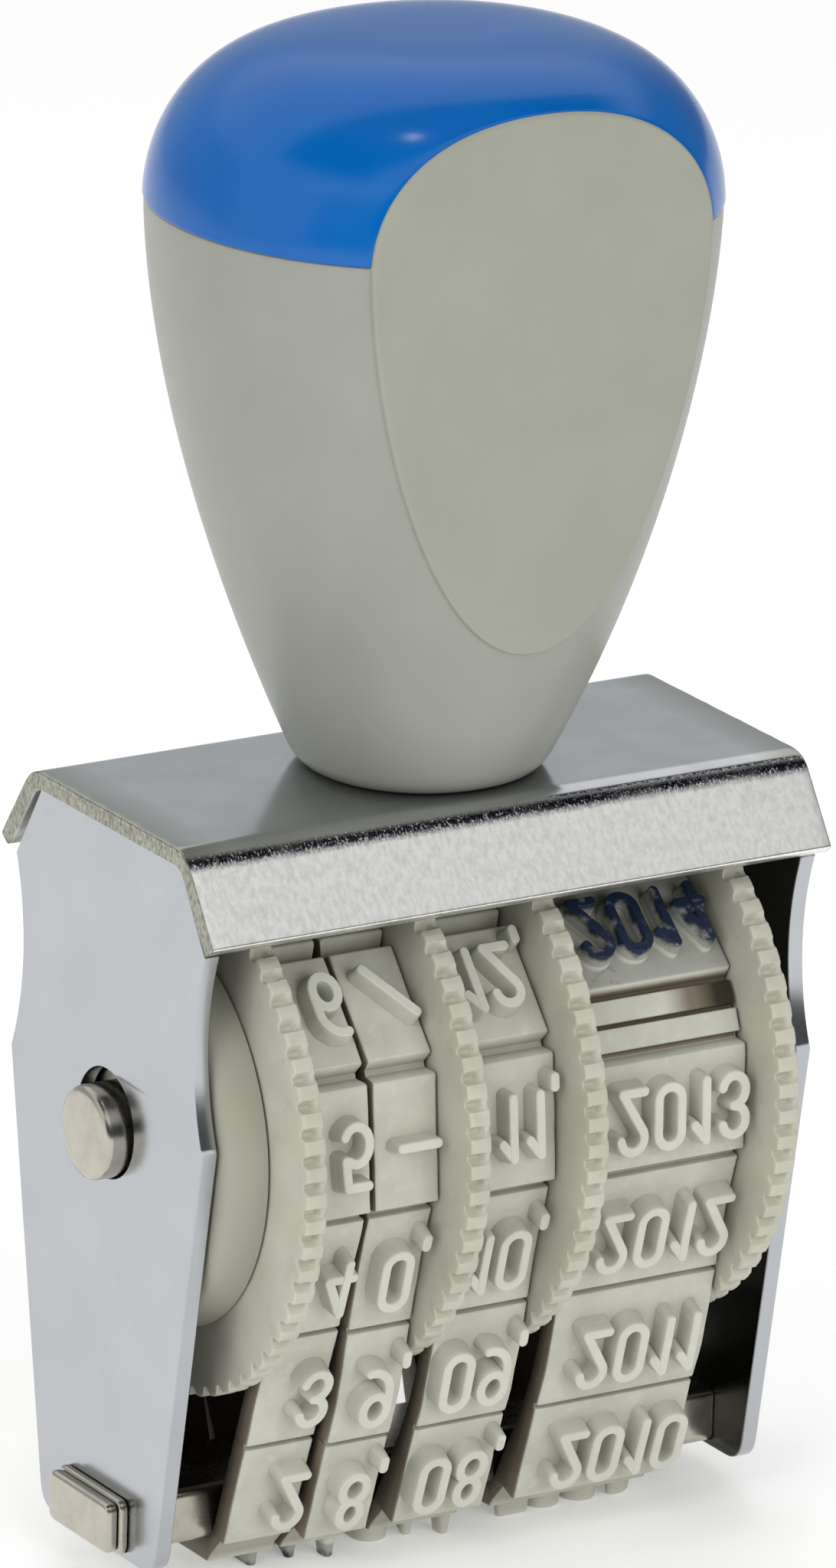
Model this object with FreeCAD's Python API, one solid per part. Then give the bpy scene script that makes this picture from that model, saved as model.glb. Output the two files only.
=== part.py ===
import FreeCAD, Part
import math
import os
from FreeCAD import Vector

# Hand-operated date stamp: a sheet-metal frame with a bulb handle on top, four thumbwheels on one
# axle, and four endless rubber type bands that run from the wheels down round a bridge bar.
# Millimetres. +X along the axle, +Y to the rear, +Z up. The origin is on the paper, under the
# middle of the printing faces.

# Frame and cover
frame_width = 39.0
sheet = 1.0
bend_radius = 1.2
foot_z = 2.35            # lower edge of the side plates above the paper
frame_height = 42.45
top_z = foot_z + frame_height
cover_width = frame_width + 0.5             # it stands a little past both side plates
top_half_depth = 8.4
flange_half_depth = 11.55
flange_drop = 4.6
axle_hole_radius = 3.1
axle_seat_gap = 0.04

# Handle: a bulb whose widest section is at widest_z
widest_z = foot_z + 74.35
bulb_top_z = foot_z + 83.87
narrow_z = foot_z + 43.6
widest_half_x = 15.92
widest_half_y = 14.9
narrow_half_x = 7.34
narrow_half_y = 7.45
section_power = 2.07
cap_joint_z = foot_z + 74.6
facet_y = 11.0
label_thickness = 0.5
spigot_half_x = 10.5
spigot_half_y = 7.5
spigot_height = 4.5
screw_radius = 2.0
screw_head_radius = 3.4
screw_length = 18.0

# Axle and wheels
axle_z = foot_z + 24.06
axle_radius = 2.65
axle_proud = 1.4
running_clearance = 0.05
flange_radius = 15.4
tooth_count = 64
tooth_height = 0.75
flange_thickness = 1.3
drum_radius = 10.5
spacer_radius = 11.5
spacer_edge_radius = 10.9
ring_thickness = 0.6
ring_radius = 4.4

# Bridge bar
bar_half_depth = 3.3
bar_bottom_z = foot_z + 0.3
bar_height = 3.2
bar_corner = 0.6
tenon_bottom_z = foot_z + 0.5
tenon_height = 2.9
tenon_proud = 1.3
clip_thickness = 0.55
clip_overhang = 0.15
clip_play = 0.06
neck_depth = 0.5

# Rubber bands
band_clearance = 0.15
bridge_clearance = 0.05
web_thickness = 0.8
pad_thickness = 0.9
type_relief = 0.9
type_height = 3.9
pad_count = 13
groove_width = 0.62

# Along the axle: each wheel is (name, flange left face, drum end), each band (name, left, right)
inner_x = frame_width / 2 - sheet
wheels = [
    ("day_tens_wheel", -15.75, -9.75),
    ("day_units_wheel", -5.4, -9.6),
    ("month_wheel", 2.1, -3.95),
    ("year_wheel", 14.4, 3.55),
]
bands = [
    ("day_tens_band", -14.2, -9.85, 1),
    ("day_units_band", -9.55, -5.55, 1),
    ("month_band", -3.85, 1.95, 2),
    ("year_band", 4.0, 14.25, 4),
]


def box(x0, x1, y0, y1, z0, z1):
    return Part.makeBox(x1 - x0, y1 - y0, z1 - z0, Vector(x0, y0, z0))


def rod(radius, x0, x1, z=axle_z):
    """A cylinder along X between x0 and x1."""
    return Part.makeCylinder(radius, x1 - x0, Vector(x0, 0, z), Vector(1, 0, 0))


def prism(edges, x0, x1):
    """The face inside edges, which lie in the plane X = x0, carried along X to x1."""
    return Part.Face(Part.Wire(edges)).extrude(Vector(x1 - x0, 0, 0))


def segments(points):
    """Straight edges round a closed outline of (y, z) points, in the plane X = 0."""
    corners = [Vector(0, y, z) for y, z in points]
    return [Part.LineSegment(a, b).toShape() for a, b in zip(corners, corners[1:] + corners[:1])]


def save(name, shape):
    shape = shape.removeSplitter()
    if not shape.isValid():
        raise ValueError(name + " is not a valid solid")
    shape.exportStep("parts/" + name + ".step")
    print(name, len(shape.Solids), "solid", round(shape.Volume, 1), "mm3")


# ---------- frame, cover ----------

def side_outline():
    """The side plate's outline: sloping shoulders, a hollow curve, a pointed bump, a straight taper."""
    shoulder = (10.25, foot_z + 37.0)
    hollow = (9.33, foot_z + 31.0)
    bump = (10.46, foot_z + 25.8)
    foot = (6.15, foot_z)
    half = [
        Part.LineSegment(Vector(0, 0, top_z - sheet), Vector(0, 7.55, top_z - sheet)),
        Part.LineSegment(Vector(0, 7.55, top_z - sheet), Vector(0, *shoulder)),
        Part.Arc(Vector(0, *shoulder), Vector(0, *hollow), Vector(0, *bump)),
        Part.LineSegment(Vector(0, *bump), Vector(0, *foot)),
        Part.LineSegment(Vector(0, *foot), Vector(0, 0, foot_z)),
    ]
    edges = [curve.toShape() for curve in half]
    mirror = [e.mirror(Vector(0, 0, 0), Vector(0, 1, 0)) for e in reversed(edges)]
    return edges + mirror


def frame():
    """One bent sheet: a top web and two side plates, with axle holes and slots for the bar."""
    half_x = frame_width / 2
    outer = box(-half_x, half_x, -12, 12, foot_z, top_z - sheet)
    ridges = [e for e in outer.Edges
              if abs(e.CenterOfMass.z - (top_z - sheet)) < 0.01 and abs(e.CenterOfMass.x) > half_x - 0.01]
    outer = outer.makeFillet(bend_radius, ridges)
    inner = box(-inner_x, inner_x, -13, 13, foot_z - 1, top_z - 2 * sheet)
    outline = prism(side_outline(), 0, frame_width).translate(Vector(-half_x, 0, 0))
    shape = outer.cut(inner).common(outline)
    toes = [e for e in shape.Edges
            if abs(e.CenterOfMass.z - foot_z) < 0.01 and abs(abs(e.CenterOfMass.y) - 6.15) < 0.01]
    shape = shape.makeFillet(1.1, toes)
    slot = box(-half_x - 1, half_x + 1, -bar_half_depth - 0.05, bar_half_depth + 0.05,
               tenon_bottom_z - 0.05, tenon_bottom_z + tenon_height + 0.05)
    hole_z = axle_z + axle_hole_radius - axle_radius - axle_seat_gap
    hole = rod(axle_hole_radius, -half_x - 1, half_x + 1, hole_z)
    shape = shape.cut(slot).cut(hole)
    return shape.cut(screw_sink())


def screw_sink():
    """The countersunk hole that the handle screw takes through the web and the cover."""
    under = top_z - 2 * sheet
    head = screw_head_radius - screw_radius
    cone = Part.makeCone(screw_head_radius + 0.05, screw_radius + 0.05, head, Vector(0, 0, under))
    shank = Part.makeCylinder(screw_radius + 0.05, 4, Vector(0, 0, under))
    return cone.fuse(shank)


def top_cover():
    """A channel over the frame's web, with a flange sloping down at the front and the rear."""
    run = math.hypot(flange_half_depth - top_half_depth, flange_drop)
    in_y = flange_drop / run * sheet
    in_z = (flange_half_depth - top_half_depth) / run * sheet
    slope = (flange_half_depth - top_half_depth) / flange_drop
    inner_y = top_half_depth - in_y + slope * (sheet - in_z)
    low_z = top_z - flange_drop
    right = [(top_half_depth, top_z), (flange_half_depth, low_z), (flange_half_depth - in_y, low_z - in_z),
             (inner_y, top_z - sheet)]
    left = [(-y, z) for y, z in reversed(right)]
    shape = prism(segments(right + left), 0, cover_width).translate(Vector(-cover_width / 2, 0, 0))
    bends = [e for e in shape.Edges if abs(e.CenterOfMass.x) < 0.01 and e.CenterOfMass.z > top_z - 0.01
             and abs(abs(e.CenterOfMass.y) - top_half_depth) < 0.01]
    shape = shape.makeFillet(0.9, bends)
    return shape.cut(screw_sink())


# ---------- handle ----------

def bulb_half_widths(z):
    """Half widths in X and Y of the bulb at height z: power curves that swell to widest_z, then a dome."""
    if z >= widest_z:
        rise = (z - widest_z) / (bulb_top_z - widest_z)
        scale = (1 - rise ** 1.986) ** (1 / 3.55)
        return widest_half_x * scale, widest_half_y * scale
    down = (widest_z - z) / (widest_z - narrow_z)
    half_x = widest_half_x - (widest_half_x - narrow_half_x) * down ** 1.556
    half_y = widest_half_y - (widest_half_y - narrow_half_y) * down ** 2.324
    return half_x, half_y


def bulb_section(z):
    """The bulb's rounded section at height z: a superellipse, as one closed spline."""
    half_x, half_y = bulb_half_widths(z)
    points = []
    for i in range(24):
        turn = 2 * math.pi * i / 24
        c, s = math.cos(turn), math.sin(turn)
        x = math.copysign(abs(c) ** (2 / section_power), c) * half_x
        y = math.copysign(abs(s) ** (2 / section_power), s) * half_y
        points.append(Vector(x, y, z))
    curve = Part.BSplineCurve()
    curve.interpolate(Points=points, PeriodicFlag=True)
    return Part.Wire([curve.toShape()])


def bulb():
    """The handle's whole outer form, from the cover to the top of the dome."""
    dome = bulb_top_z - widest_z
    rises = [0.25, 0.45, 0.62, 0.76, 0.87, 0.94, 0.98, 0.996, 0.9997]
    heights = [top_z + 4.2 * i for i in range(8)] + [widest_z] + [widest_z + dome * r for r in rises]
    shape = Part.makeLoft([bulb_section(z) for z in heights], True, False)
    base = [e for e in shape.Edges if e.BoundBox.ZMax < top_z + 0.01]
    return shape.makeFillet(0.9, base)


def facets(depth):
    """The space in front of and behind the two flat facets, which lie depth from the middle."""
    low = top_z - 1
    front = box(-30, 30, -30, -depth, low, bulb_top_z + 1)
    rear = box(-30, 30, depth, 30, low, bulb_top_z + 1)
    return front.fuse(rear)


def spigot(gap):
    """The oval peg on top of the body that locates the cap. gap makes the cap's socket larger."""
    oval = Part.Ellipse(Vector(0, 0, cap_joint_z), spigot_half_x + gap, spigot_half_y + gap)
    return Part.Face(Part.Wire([oval.toShape()])).extrude(Vector(0, 0, spigot_height + gap))


def handle_pieces():
    """The body, the cap and the two flat label plates, all cut from one bulb."""
    whole = bulb()
    cut = whole.cut(facets(facet_y))
    lower = box(-30, 30, -30, 30, top_z - 1, cap_joint_z)
    upper = box(-30, 30, -30, 30, cap_joint_z, bulb_top_z + 1)
    bore = Part.makeCylinder(screw_radius + 0.02, screw_length + 1, Vector(0, 0, top_z - 1))
    body = cut.common(lower).fuse(spigot(0)).cut(bore)
    cap = cut.common(upper).cut(spigot(0.1))
    plates = whole.common(facets(facet_y)).cut(facets(facet_y + label_thickness))
    front, rear = sorted(plates.Solids, key=lambda s: s.CenterOfMass.y)
    return {"handle_body": body, "handle_cap": cap, "front_label_plate": front, "rear_label_plate": rear}


def handle_screw():
    """A countersunk screw, up through the web and the cover into the handle, with a cross recess."""
    under = top_z - 2 * sheet
    head = screw_head_radius - screw_radius
    cone = Part.makeCone(screw_head_radius, screw_radius, head, Vector(0, 0, under))
    shank = Part.makeCylinder(screw_radius, screw_length, Vector(0, 0, under))
    tip = Part.makeCone(screw_radius, 0.6, 1.6, Vector(0, 0, under + screw_length))
    slot = box(-1.9, 1.9, -0.4, 0.4, under - 1, under + 0.8)
    cross = slot.fuse(box(-0.4, 0.4, -1.9, 1.9, under - 1, under + 0.8))
    return cone.fuse(shank).fuse(tip).cut(cross)


# ---------- axle and wheels ----------

def axle():
    """A round pin with chamfered ends and a groove inside each side plate for a retaining ring."""
    half = frame_width / 2 + axle_proud
    pin = rod(axle_radius, -half, half)
    ends = [e for e in pin.Edges if abs(abs(e.CenterOfMass.x) - half) < 0.01]
    pin = pin.makeChamfer(0.45, ends)
    for side in (-1, 1):
        x0, x1 = ring_span(side)
        groove = rod(axle_radius + 1, x0 - 0.02, x1 + 0.02).cut(rod(axle_radius - 0.5, x0 - 1, x1 + 1))
        pin = pin.cut(groove)
    return pin


def ring_span(side):
    """Where the retaining ring on that side of the frame lies along X, as (low, high)."""
    near = inner_x - 0.2
    far = near - ring_thickness
    return (far, near) if side > 0 else (-near, -far)


def axle_ring(side):
    """An open retaining ring that snaps into the axle's groove."""
    x0, x1 = ring_span(side)
    ring = rod(ring_radius, x0, x1).cut(rod(axle_radius - 0.5, x0 - 1, x1 + 1))
    mouth = box(x0 - 1, x1 + 1, -1.4, 1.4, axle_z - ring_radius - 1, axle_z - 1)
    return ring.cut(mouth)


def left_spacer_disc():
    """A broad disc between the left side plate and the first wheel, hollowed for the axle's ring."""
    x0 = -inner_x + 0.15
    x1 = wheels[0][1] - band_clearance
    rim = Part.makeCone(spacer_edge_radius, spacer_radius, x1 - x0, Vector(x0, 0, axle_z), Vector(1, 0, 0))
    edge = [e for e in rim.Edges if abs(e.CenterOfMass.x - x0) < 0.01]
    rim = rim.makeFillet(0.5, edge)
    hollow = rod(ring_radius + 0.8, x0 - 1, x0 + 1.1)
    return rim.cut(hollow).cut(rod(axle_radius + 0.1, x0 - 1, x1 + 1))


def right_spacer():
    """A small collar between the last wheel and the right-hand retaining ring."""
    x0 = wheels[3][1] + flange_thickness + band_clearance
    x1 = ring_span(1)[0] - 0.1
    return rod(axle_radius + 2, x0, x1).cut(rod(axle_radius + 0.1, x0 - 1, x1 + 1))


def toothed_disc(x0, x1):
    """A thumbwheel flange with square teeth round its rim."""
    points = []
    root = flange_radius - tooth_height
    for i in range(tooth_count):
        for share, radius in ((-0.31, root), (-0.22, flange_radius), (0.22, flange_radius), (0.31, root)):
            turn = 2 * math.pi * (i + share) / tooth_count
            points.append((radius * math.cos(turn), axle_z + radius * math.sin(turn)))
    return prism(segments(points), 0, x1 - x0).translate(Vector(x0, 0, 0))


def wheel(flange_x, drum_end):
    """A toothed flange and the drum that carries its band, on one bore."""
    right = flange_x + flange_thickness
    drum = rod(drum_radius, min(flange_x, drum_end), max(right, drum_end))
    shape = toothed_disc(flange_x, right).fuse(drum)
    return shape.cut(rod(axle_radius + running_clearance, -30, 30))


# ---------- bridge bar ----------

def bridge_bar():
    """The bar that the bands turn round, with a tenon at each end that passes out of the frame."""
    half_x = frame_width / 2
    bar = box(-inner_x, inner_x, -bar_half_depth, bar_half_depth, bar_bottom_z, bar_bottom_z + bar_height)
    long_edges = [e for e in bar.Edges if abs(e.CenterOfMass.x) < 0.01]
    bar = bar.makeFillet(bar_corner, long_edges)
    end = half_x + tenon_proud
    tenon = box(-end, end, -bar_half_depth, bar_half_depth, tenon_bottom_z, tenon_bottom_z + tenon_height)
    outer = [e for e in tenon.Edges if abs(abs(e.CenterOfMass.x) - end) < 0.01]
    tenon = tenon.makeFillet(0.35, outer)
    bar = bar.fuse(tenon)
    for side in (-1, 1):
        x0, x1 = clip_span(side)
        groove = box(x0 - clip_play, x1 + clip_play, -9, 9, foot_z - 1, foot_z + 9)
        bar = bar.cut(groove.cut(neck(x0 - 1, x1 + 1)))
    return bar


def clip_span(side):
    """Where the clip on that side lies along X, as (low, high): just outside the side plate."""
    near = frame_width / 2 + 0.02
    far = near + clip_thickness
    return (near, far) if side > 0 else (-far, -near)


def neck(x0, x1):
    """The bar's reduced section inside a clip's groove."""
    return box(x0, x1, -bar_half_depth + neck_depth, bar_half_depth - neck_depth,
               tenon_bottom_z + neck_depth, tenon_bottom_z + tenon_height - neck_depth)


def bridge_clip(side):
    """A flat clip, open at the rear, pushed into the groove outside the side plate."""
    x0, x1 = clip_span(side)
    reach = bar_half_depth + clip_overhang
    plate = box(x0, x1, -reach, reach, tenon_bottom_z - clip_overhang,
                tenon_bottom_z + tenon_height + clip_overhang)
    corners = [e for e in plate.Edges if abs(e.CenterOfMass.x - (x0 + x1) / 2) < 0.01]
    plate = plate.makeFillet(0.5, corners)
    mouth = box(x0 - 1, x1 + 1, -bar_half_depth + neck_depth, reach + 1,
                tenon_bottom_z + neck_depth, tenon_bottom_z + tenon_height - neck_depth)
    return plate.cut(mouth)


# ---------- rubber bands ----------

# A band's path in the (y, z) plane: round a corner of the bar, straight up to the drum, over the
# drum and down again. It is described at its inner surface; offset moves it outwards.
corner_y = -(bar_half_depth - bar_corner)
corner_z = bar_bottom_z + bar_corner
corner_radius = bar_corner + bridge_clearance
loop_radius = drum_radius + band_clearance
centre_gap = math.hypot(corner_y, axle_z - corner_z)
straight_run = math.sqrt(centre_gap ** 2 - (loop_radius - corner_radius) ** 2)
towards_axle = math.atan2(axle_z - corner_z, -corner_y)
front_normal = towards_axle + math.pi - math.acos((loop_radius - corner_radius) / centre_gap)
corner_turn = 1.5 * math.pi - front_normal
drum_turn = 2 * front_normal - math.pi


def on_path(distance, offset=0.0):
    """Point and outward direction on the front half of a band, distance along its middle layer from
    the bottom centre, moved offset outwards from the inner surface."""
    middle = web_thickness / 2
    bottom = -corner_y
    corner_arc = (corner_radius + middle) * corner_turn
    if distance < bottom:
        base = Vector(0, -distance, corner_z - corner_radius)
        angle = 1.5 * math.pi
    elif distance < bottom + corner_arc:
        angle = 1.5 * math.pi - (distance - bottom) / (corner_radius + middle)
        base = Vector(0, corner_y + corner_radius * math.cos(angle), corner_z + corner_radius * math.sin(angle))
    elif distance < bottom + corner_arc + straight_run:
        angle = front_normal
        along = distance - bottom - corner_arc
        start = Vector(0, corner_y + corner_radius * math.cos(angle), corner_z + corner_radius * math.sin(angle))
        base = start + Vector(0, math.sin(angle), -math.cos(angle)) * along
    else:
        angle = front_normal - (distance - bottom - corner_arc - straight_run) / (loop_radius + middle)
        base = Vector(0, loop_radius * math.cos(angle), axle_z + loop_radius * math.sin(angle))
    outward = Vector(0, math.cos(angle), math.sin(angle))
    return base + outward * offset, outward


def loop_length():
    """Length of a band along its middle layer."""
    middle = web_thickness / 2
    half = -corner_y + (corner_radius + middle) * corner_turn + straight_run
    return 2 * half + (loop_radius + middle) * drum_turn


def place(distance, offset):
    """on_path for the whole loop: the rear half mirrors the front half."""
    length = loop_length()
    distance = distance % length
    if distance <= length / 2:
        return on_path(distance, offset)
    point, outward = on_path(length - distance, offset)
    return Vector(0, -point.y, point.z), Vector(0, -outward.y, outward.z)


def loop_edges(offset):
    """The closed outline of the band's path at that offset: three straights and three arcs."""
    small = corner_radius + offset
    large = loop_radius + offset

    def corner(angle, side):
        return Vector(0, side * (corner_y + small * math.cos(angle)), corner_z + small * math.sin(angle))

    def drum(angle):
        return Vector(0, large * math.cos(angle), axle_z + large * math.sin(angle))

    down = 1.5 * math.pi
    half_way = (down + front_normal) / 2
    rear_normal = math.pi - front_normal
    return [
        Part.LineSegment(corner(down, -1), corner(down, 1)).toShape(),
        Part.Arc(corner(down, 1), corner(half_way, 1), corner(front_normal, 1)).toShape(),
        Part.LineSegment(corner(front_normal, 1), drum(front_normal)).toShape(),
        Part.Arc(drum(front_normal), drum(math.pi / 2), drum(rear_normal)).toShape(),
        Part.LineSegment(drum(rear_normal), corner(front_normal, -1)).toShape(),
        Part.Arc(corner(front_normal, -1), corner(half_way, -1), corner(down, -1)).toShape(),
    ]


def block_on_band(distance, length, low, high, x0, x1):
    """A block square to the band: length along it, from low to high above its inner surface."""
    point, outward = place(distance, 0)
    along = Vector(0, -outward.z, outward.y)
    corners = [point + outward * h + along * (s * length / 2)
               for h, s in ((low, -1), (high, -1), (high, 1), (low, 1))]
    edges = [Part.LineSegment(a, b).toShape() for a, b in zip(corners, corners[1:] + corners[:1])]
    return prism(edges, 0, x1 - x0).translate(Vector(x0, 0, 0))


def band(left, right, digits):
    """An endless rubber band: raised pads parted by grooves, each pad with its raised type."""
    face = web_thickness + pad_thickness
    width = right - left
    ring = prism(loop_edges(face), 0, width).cut(prism(loop_edges(0), 0, width)).translate(Vector(left, 0, 0))
    pitch = loop_length() / pad_count
    digit_pitch = (width - 0.5) / digits
    digit_width = min(1.9, digit_pitch - 0.5)
    grooves = [block_on_band((k + 0.5) * pitch, groove_width, web_thickness, face + 1, left - 1, right + 1)
               for k in range(pad_count)]
    blocks = []
    for k in range(pad_count):
        for i in range(digits):
            middle = (left + right) / 2 + (i - (digits - 1) / 2) * digit_pitch
            blocks.append(block_on_band(k * pitch, type_height, face - 0.3, face + type_relief,
                                        middle - digit_width / 2, middle + digit_width / 2))
    return ring.cut(Part.makeCompound(grooves)).fuse(blocks)


os.makedirs("parts", exist_ok=True)
save("frame", frame())
save("top_cover", top_cover())
for node, solid in handle_pieces().items():
    save(node, solid)
save("handle_screw", handle_screw())
save("axle", axle())
save("axle_ring_left", axle_ring(-1))
save("axle_ring_right", axle_ring(1))
save("left_spacer_disc", left_spacer_disc())
save("right_spacer", right_spacer())
for node, flange_x, drum_end in wheels:
    save(node, wheel(flange_x, drum_end))
save("bridge_bar", bridge_bar())
save("bridge_clip_left", bridge_clip(-1))
save("bridge_clip_right", bridge_clip(1))
for node, left, right, digits in bands:
    save(node, band(left, right, digits))
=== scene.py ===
import math
from functools import partial

import bmesh
import bpy
import numpy as np
from mathutils import Matrix, Vector


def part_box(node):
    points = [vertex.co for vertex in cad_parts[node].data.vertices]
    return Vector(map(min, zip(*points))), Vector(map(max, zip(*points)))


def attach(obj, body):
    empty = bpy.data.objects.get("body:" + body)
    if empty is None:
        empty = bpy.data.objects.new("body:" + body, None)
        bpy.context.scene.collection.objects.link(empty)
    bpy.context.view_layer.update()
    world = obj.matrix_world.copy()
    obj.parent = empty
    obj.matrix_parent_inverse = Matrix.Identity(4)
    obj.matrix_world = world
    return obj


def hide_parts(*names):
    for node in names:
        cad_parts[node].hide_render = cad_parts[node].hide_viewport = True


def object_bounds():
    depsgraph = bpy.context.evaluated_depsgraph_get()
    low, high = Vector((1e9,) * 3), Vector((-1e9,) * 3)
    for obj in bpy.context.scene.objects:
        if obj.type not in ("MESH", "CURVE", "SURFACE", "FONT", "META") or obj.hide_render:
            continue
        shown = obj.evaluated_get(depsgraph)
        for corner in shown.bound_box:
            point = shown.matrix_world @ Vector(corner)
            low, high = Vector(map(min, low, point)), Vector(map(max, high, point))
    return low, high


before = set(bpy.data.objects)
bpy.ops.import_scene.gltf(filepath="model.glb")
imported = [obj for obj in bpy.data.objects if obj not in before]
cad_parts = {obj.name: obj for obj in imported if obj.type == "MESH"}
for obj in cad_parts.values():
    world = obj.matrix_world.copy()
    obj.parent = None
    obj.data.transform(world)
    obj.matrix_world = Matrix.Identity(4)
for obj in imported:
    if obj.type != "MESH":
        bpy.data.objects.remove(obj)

cadLow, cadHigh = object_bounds()
mm = 0.001               # all sizes below are millimetres; meshes are stored in metres
print("frame loaded:", len(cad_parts), "nodes")


def boxOf(node):         # a CAD node's lowest and highest corner, in millimetres
    low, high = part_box(node)
    return np.array(low) / mm, np.array(high) / mm


frameLow, frameHigh = boxOf("frame")
coverLow, coverHigh = boxOf("top_cover")
axleLow, axleHigh = boxOf("axle")
axleZ = (axleLow[2] + axleHigh[2]) / 2
axleRadius = (axleHigh[2] - axleLow[2]) / 2
footZ = frameLow[2]
coverTopZ = coverHigh[2]
sheetThickness = 1.0     # of the frame and the cover
webTopZ = coverTopZ - sheetThickness


def gridFaces(rows, columns, wrapRows=False, wrapColumns=False, start=0):
    # quads between neighbouring rows and columns of a grid of points, and round the seam where it wraps
    r, c = np.meshgrid(np.arange(rows if wrapRows else rows - 1),
                       np.arange(columns if wrapColumns else columns - 1), indexing="ij")
    rNext, cNext = (r + 1) % rows, (c + 1) % columns
    quads = [r * columns + c, r * columns + cNext, rNext * columns + cNext, rNext * columns + c]
    return start + np.stack(quads, -1).reshape(-1, 4)


def gridShell(points, wrapRows=False, wrapColumns=False):
    # one shell from a grid of points, shape (rows, columns, 3)
    rows, columns = points.shape[:2]
    return points.reshape(-1, 3), gridFaces(rows, columns, wrapRows, wrapColumns)


def buildPiece(name, shells, sharpAngle=38, values=None):
    # joins the shells to one mesh, merges the points that coincide and turns all faces outwards
    counts = np.cumsum([0] + [len(points) for points, _ in shells])
    points = np.concatenate([points for points, _ in shells]) * mm
    faces = [faceRows + first for (_, faceRows), first in zip(shells, counts)]
    corners = np.concatenate([f.ravel() for f in faces]).astype(np.int32)
    sizes = np.concatenate([np.full(len(f), f.shape[1]) for f in faces])
    mesh = bpy.data.meshes.new(name)
    mesh.vertices.add(len(points))
    mesh.vertices.foreach_set("co", points.astype(np.float32).ravel())
    mesh.loops.add(len(corners))
    mesh.loops.foreach_set("vertex_index", corners)
    mesh.polygons.add(len(sizes))
    mesh.polygons.foreach_set("loop_start", (np.cumsum(sizes) - sizes).astype(np.int32))
    mesh.update(calc_edges=True)
    if values is not None:
        layer = mesh.attributes.new("ink", "FLOAT", "POINT")
        layer.data.foreach_set("value", np.concatenate(values).astype(np.float32))
    work = bmesh.new()
    work.from_mesh(mesh)
    bmesh.ops.remove_doubles(work, verts=work.verts, dist=0.0015 * mm)
    bmesh.ops.dissolve_degenerate(work, edges=work.edges, dist=0.0005 * mm)
    bmesh.ops.recalc_face_normals(work, faces=work.faces)
    work.to_mesh(mesh)
    work.free()
    mesh.shade_smooth()
    mesh.set_sharp_from_angle(angle=math.radians(sharpAngle))
    piece = bpy.data.objects.new(name, mesh)
    bpy.context.scene.collection.objects.link(piece)
    return piece


def settle(piece, body, material, node):
    # gives a finished piece its material and body, and hides the CAD node that it stands for
    piece.data.materials.append(material)
    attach(piece, body)
    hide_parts(node)


def inCamelCase(node):   # a piece's name from its CAD node's
    words = node.split("_")
    return words[0] + "".join(word.capitalize() for word in words[1:])


def roundedLoop(corners, radius, steps=4):
    # a closed outline of 2D corners with every corner rounded: the round is the quadratic curve whose
    # ends lie radius along the two sides, with the corner as its middle point
    corners = np.asarray(corners, float)
    before, after = np.roll(corners, 1, 0), np.roll(corners, -1, 0)
    back, ahead = before - corners, after - corners
    backLength = np.linalg.norm(back, axis=1, keepdims=True)
    aheadLength = np.linalg.norm(ahead, axis=1, keepdims=True)
    reach = np.minimum(np.broadcast_to(np.reshape(radius, (-1, 1)), backLength.shape),
                       0.48 * np.minimum(backLength, aheadLength))
    first, last = corners + back / backLength * reach, corners + ahead / aheadLength * reach
    t = np.linspace(0, 1, steps + 1)[None, :, None]
    curve = (1 - t) ** 2 * first[:, None] + 2 * t * (1 - t) * corners[:, None] + t ** 2 * last[:, None]
    return curve.reshape(-1, 2)


def latheX(profile, turns=128):
    # a closed profile of (x, radius) carried round the axle's line: point = (x, r cos a, centre + r sin a)
    angle = np.linspace(0, 2 * np.pi, turns, endpoint=False)
    x, r = profile[:, 0], profile[:, 1]
    points = np.stack([np.broadcast_to(x, (turns, len(x))), np.outer(np.cos(angle), r),
                       axleZ + np.outer(np.sin(angle), r)], -1)
    return gridShell(points, True, True)


def sectionsAlongX(stations, steps=4):
    # rounded rectangles (x, half depth, low z, high z, corner) joined along X, closed by their shrunken ends
    rings = []
    for x, halfY, lowZ, highZ, corner in stations:
        loop = roundedLoop([(-halfY, lowZ), (halfY, lowZ), (halfY, highZ), (-halfY, highZ)], corner, steps)
        rings.append(np.column_stack([np.full(len(loop), x), loop]))
    rings = np.array(rings)
    ends = [np.broadcast_to(ring.mean(0), ring.shape) for ring in (rings[0], rings[-1])]
    return gridShell(np.concatenate([ends[:1], rings, ends[1:]]), False, True)


def flatPlate(name, outlines, thickness, bevel):
    # a flat plate in the plane Z = 0, as a mesh to be placed: the outlines (the first is its edge, the
    # others are holes) filled, given their thickness along Z and rounded along every edge by bevel
    curve = bpy.data.curves.new(name, "CURVE")
    curve.dimensions = "2D"
    curve.fill_mode = "BOTH"
    curve.extrude = (thickness / 2 - bevel) * mm
    curve.bevel_depth = bevel * mm
    curve.bevel_resolution = 3
    curve.offset = -bevel * mm
    for outline in outlines:
        spline = curve.splines.new("POLY")
        spline.points.add(len(outline) - 1)
        spline.points.foreach_set("co", np.column_stack([outline * mm, np.zeros(len(outline)),
                                                         np.ones(len(outline))]).ravel())
        spline.use_cyclic_u = True
    holder = bpy.data.objects.new(name, curve)
    bpy.context.scene.collection.objects.link(holder)
    mesh = bpy.data.meshes.new_from_object(holder.evaluated_get(bpy.context.evaluated_depsgraph_get()))
    bpy.data.objects.remove(holder)
    return mesh


def ripple(*coordinates, seed=0):
    # a smooth, repeatable unevenness between -1 and 1: the mean of six sine waves in set directions
    chooser = np.random.default_rng(seed)
    total = 0
    for _ in range(6):
        weights, phase = chooser.normal(size=len(coordinates)), chooser.uniform(0, 2 * np.pi)
        total = total + np.sin(sum(w * c for w, c in zip(weights, coordinates)) + phase)
    return total / 6


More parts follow.
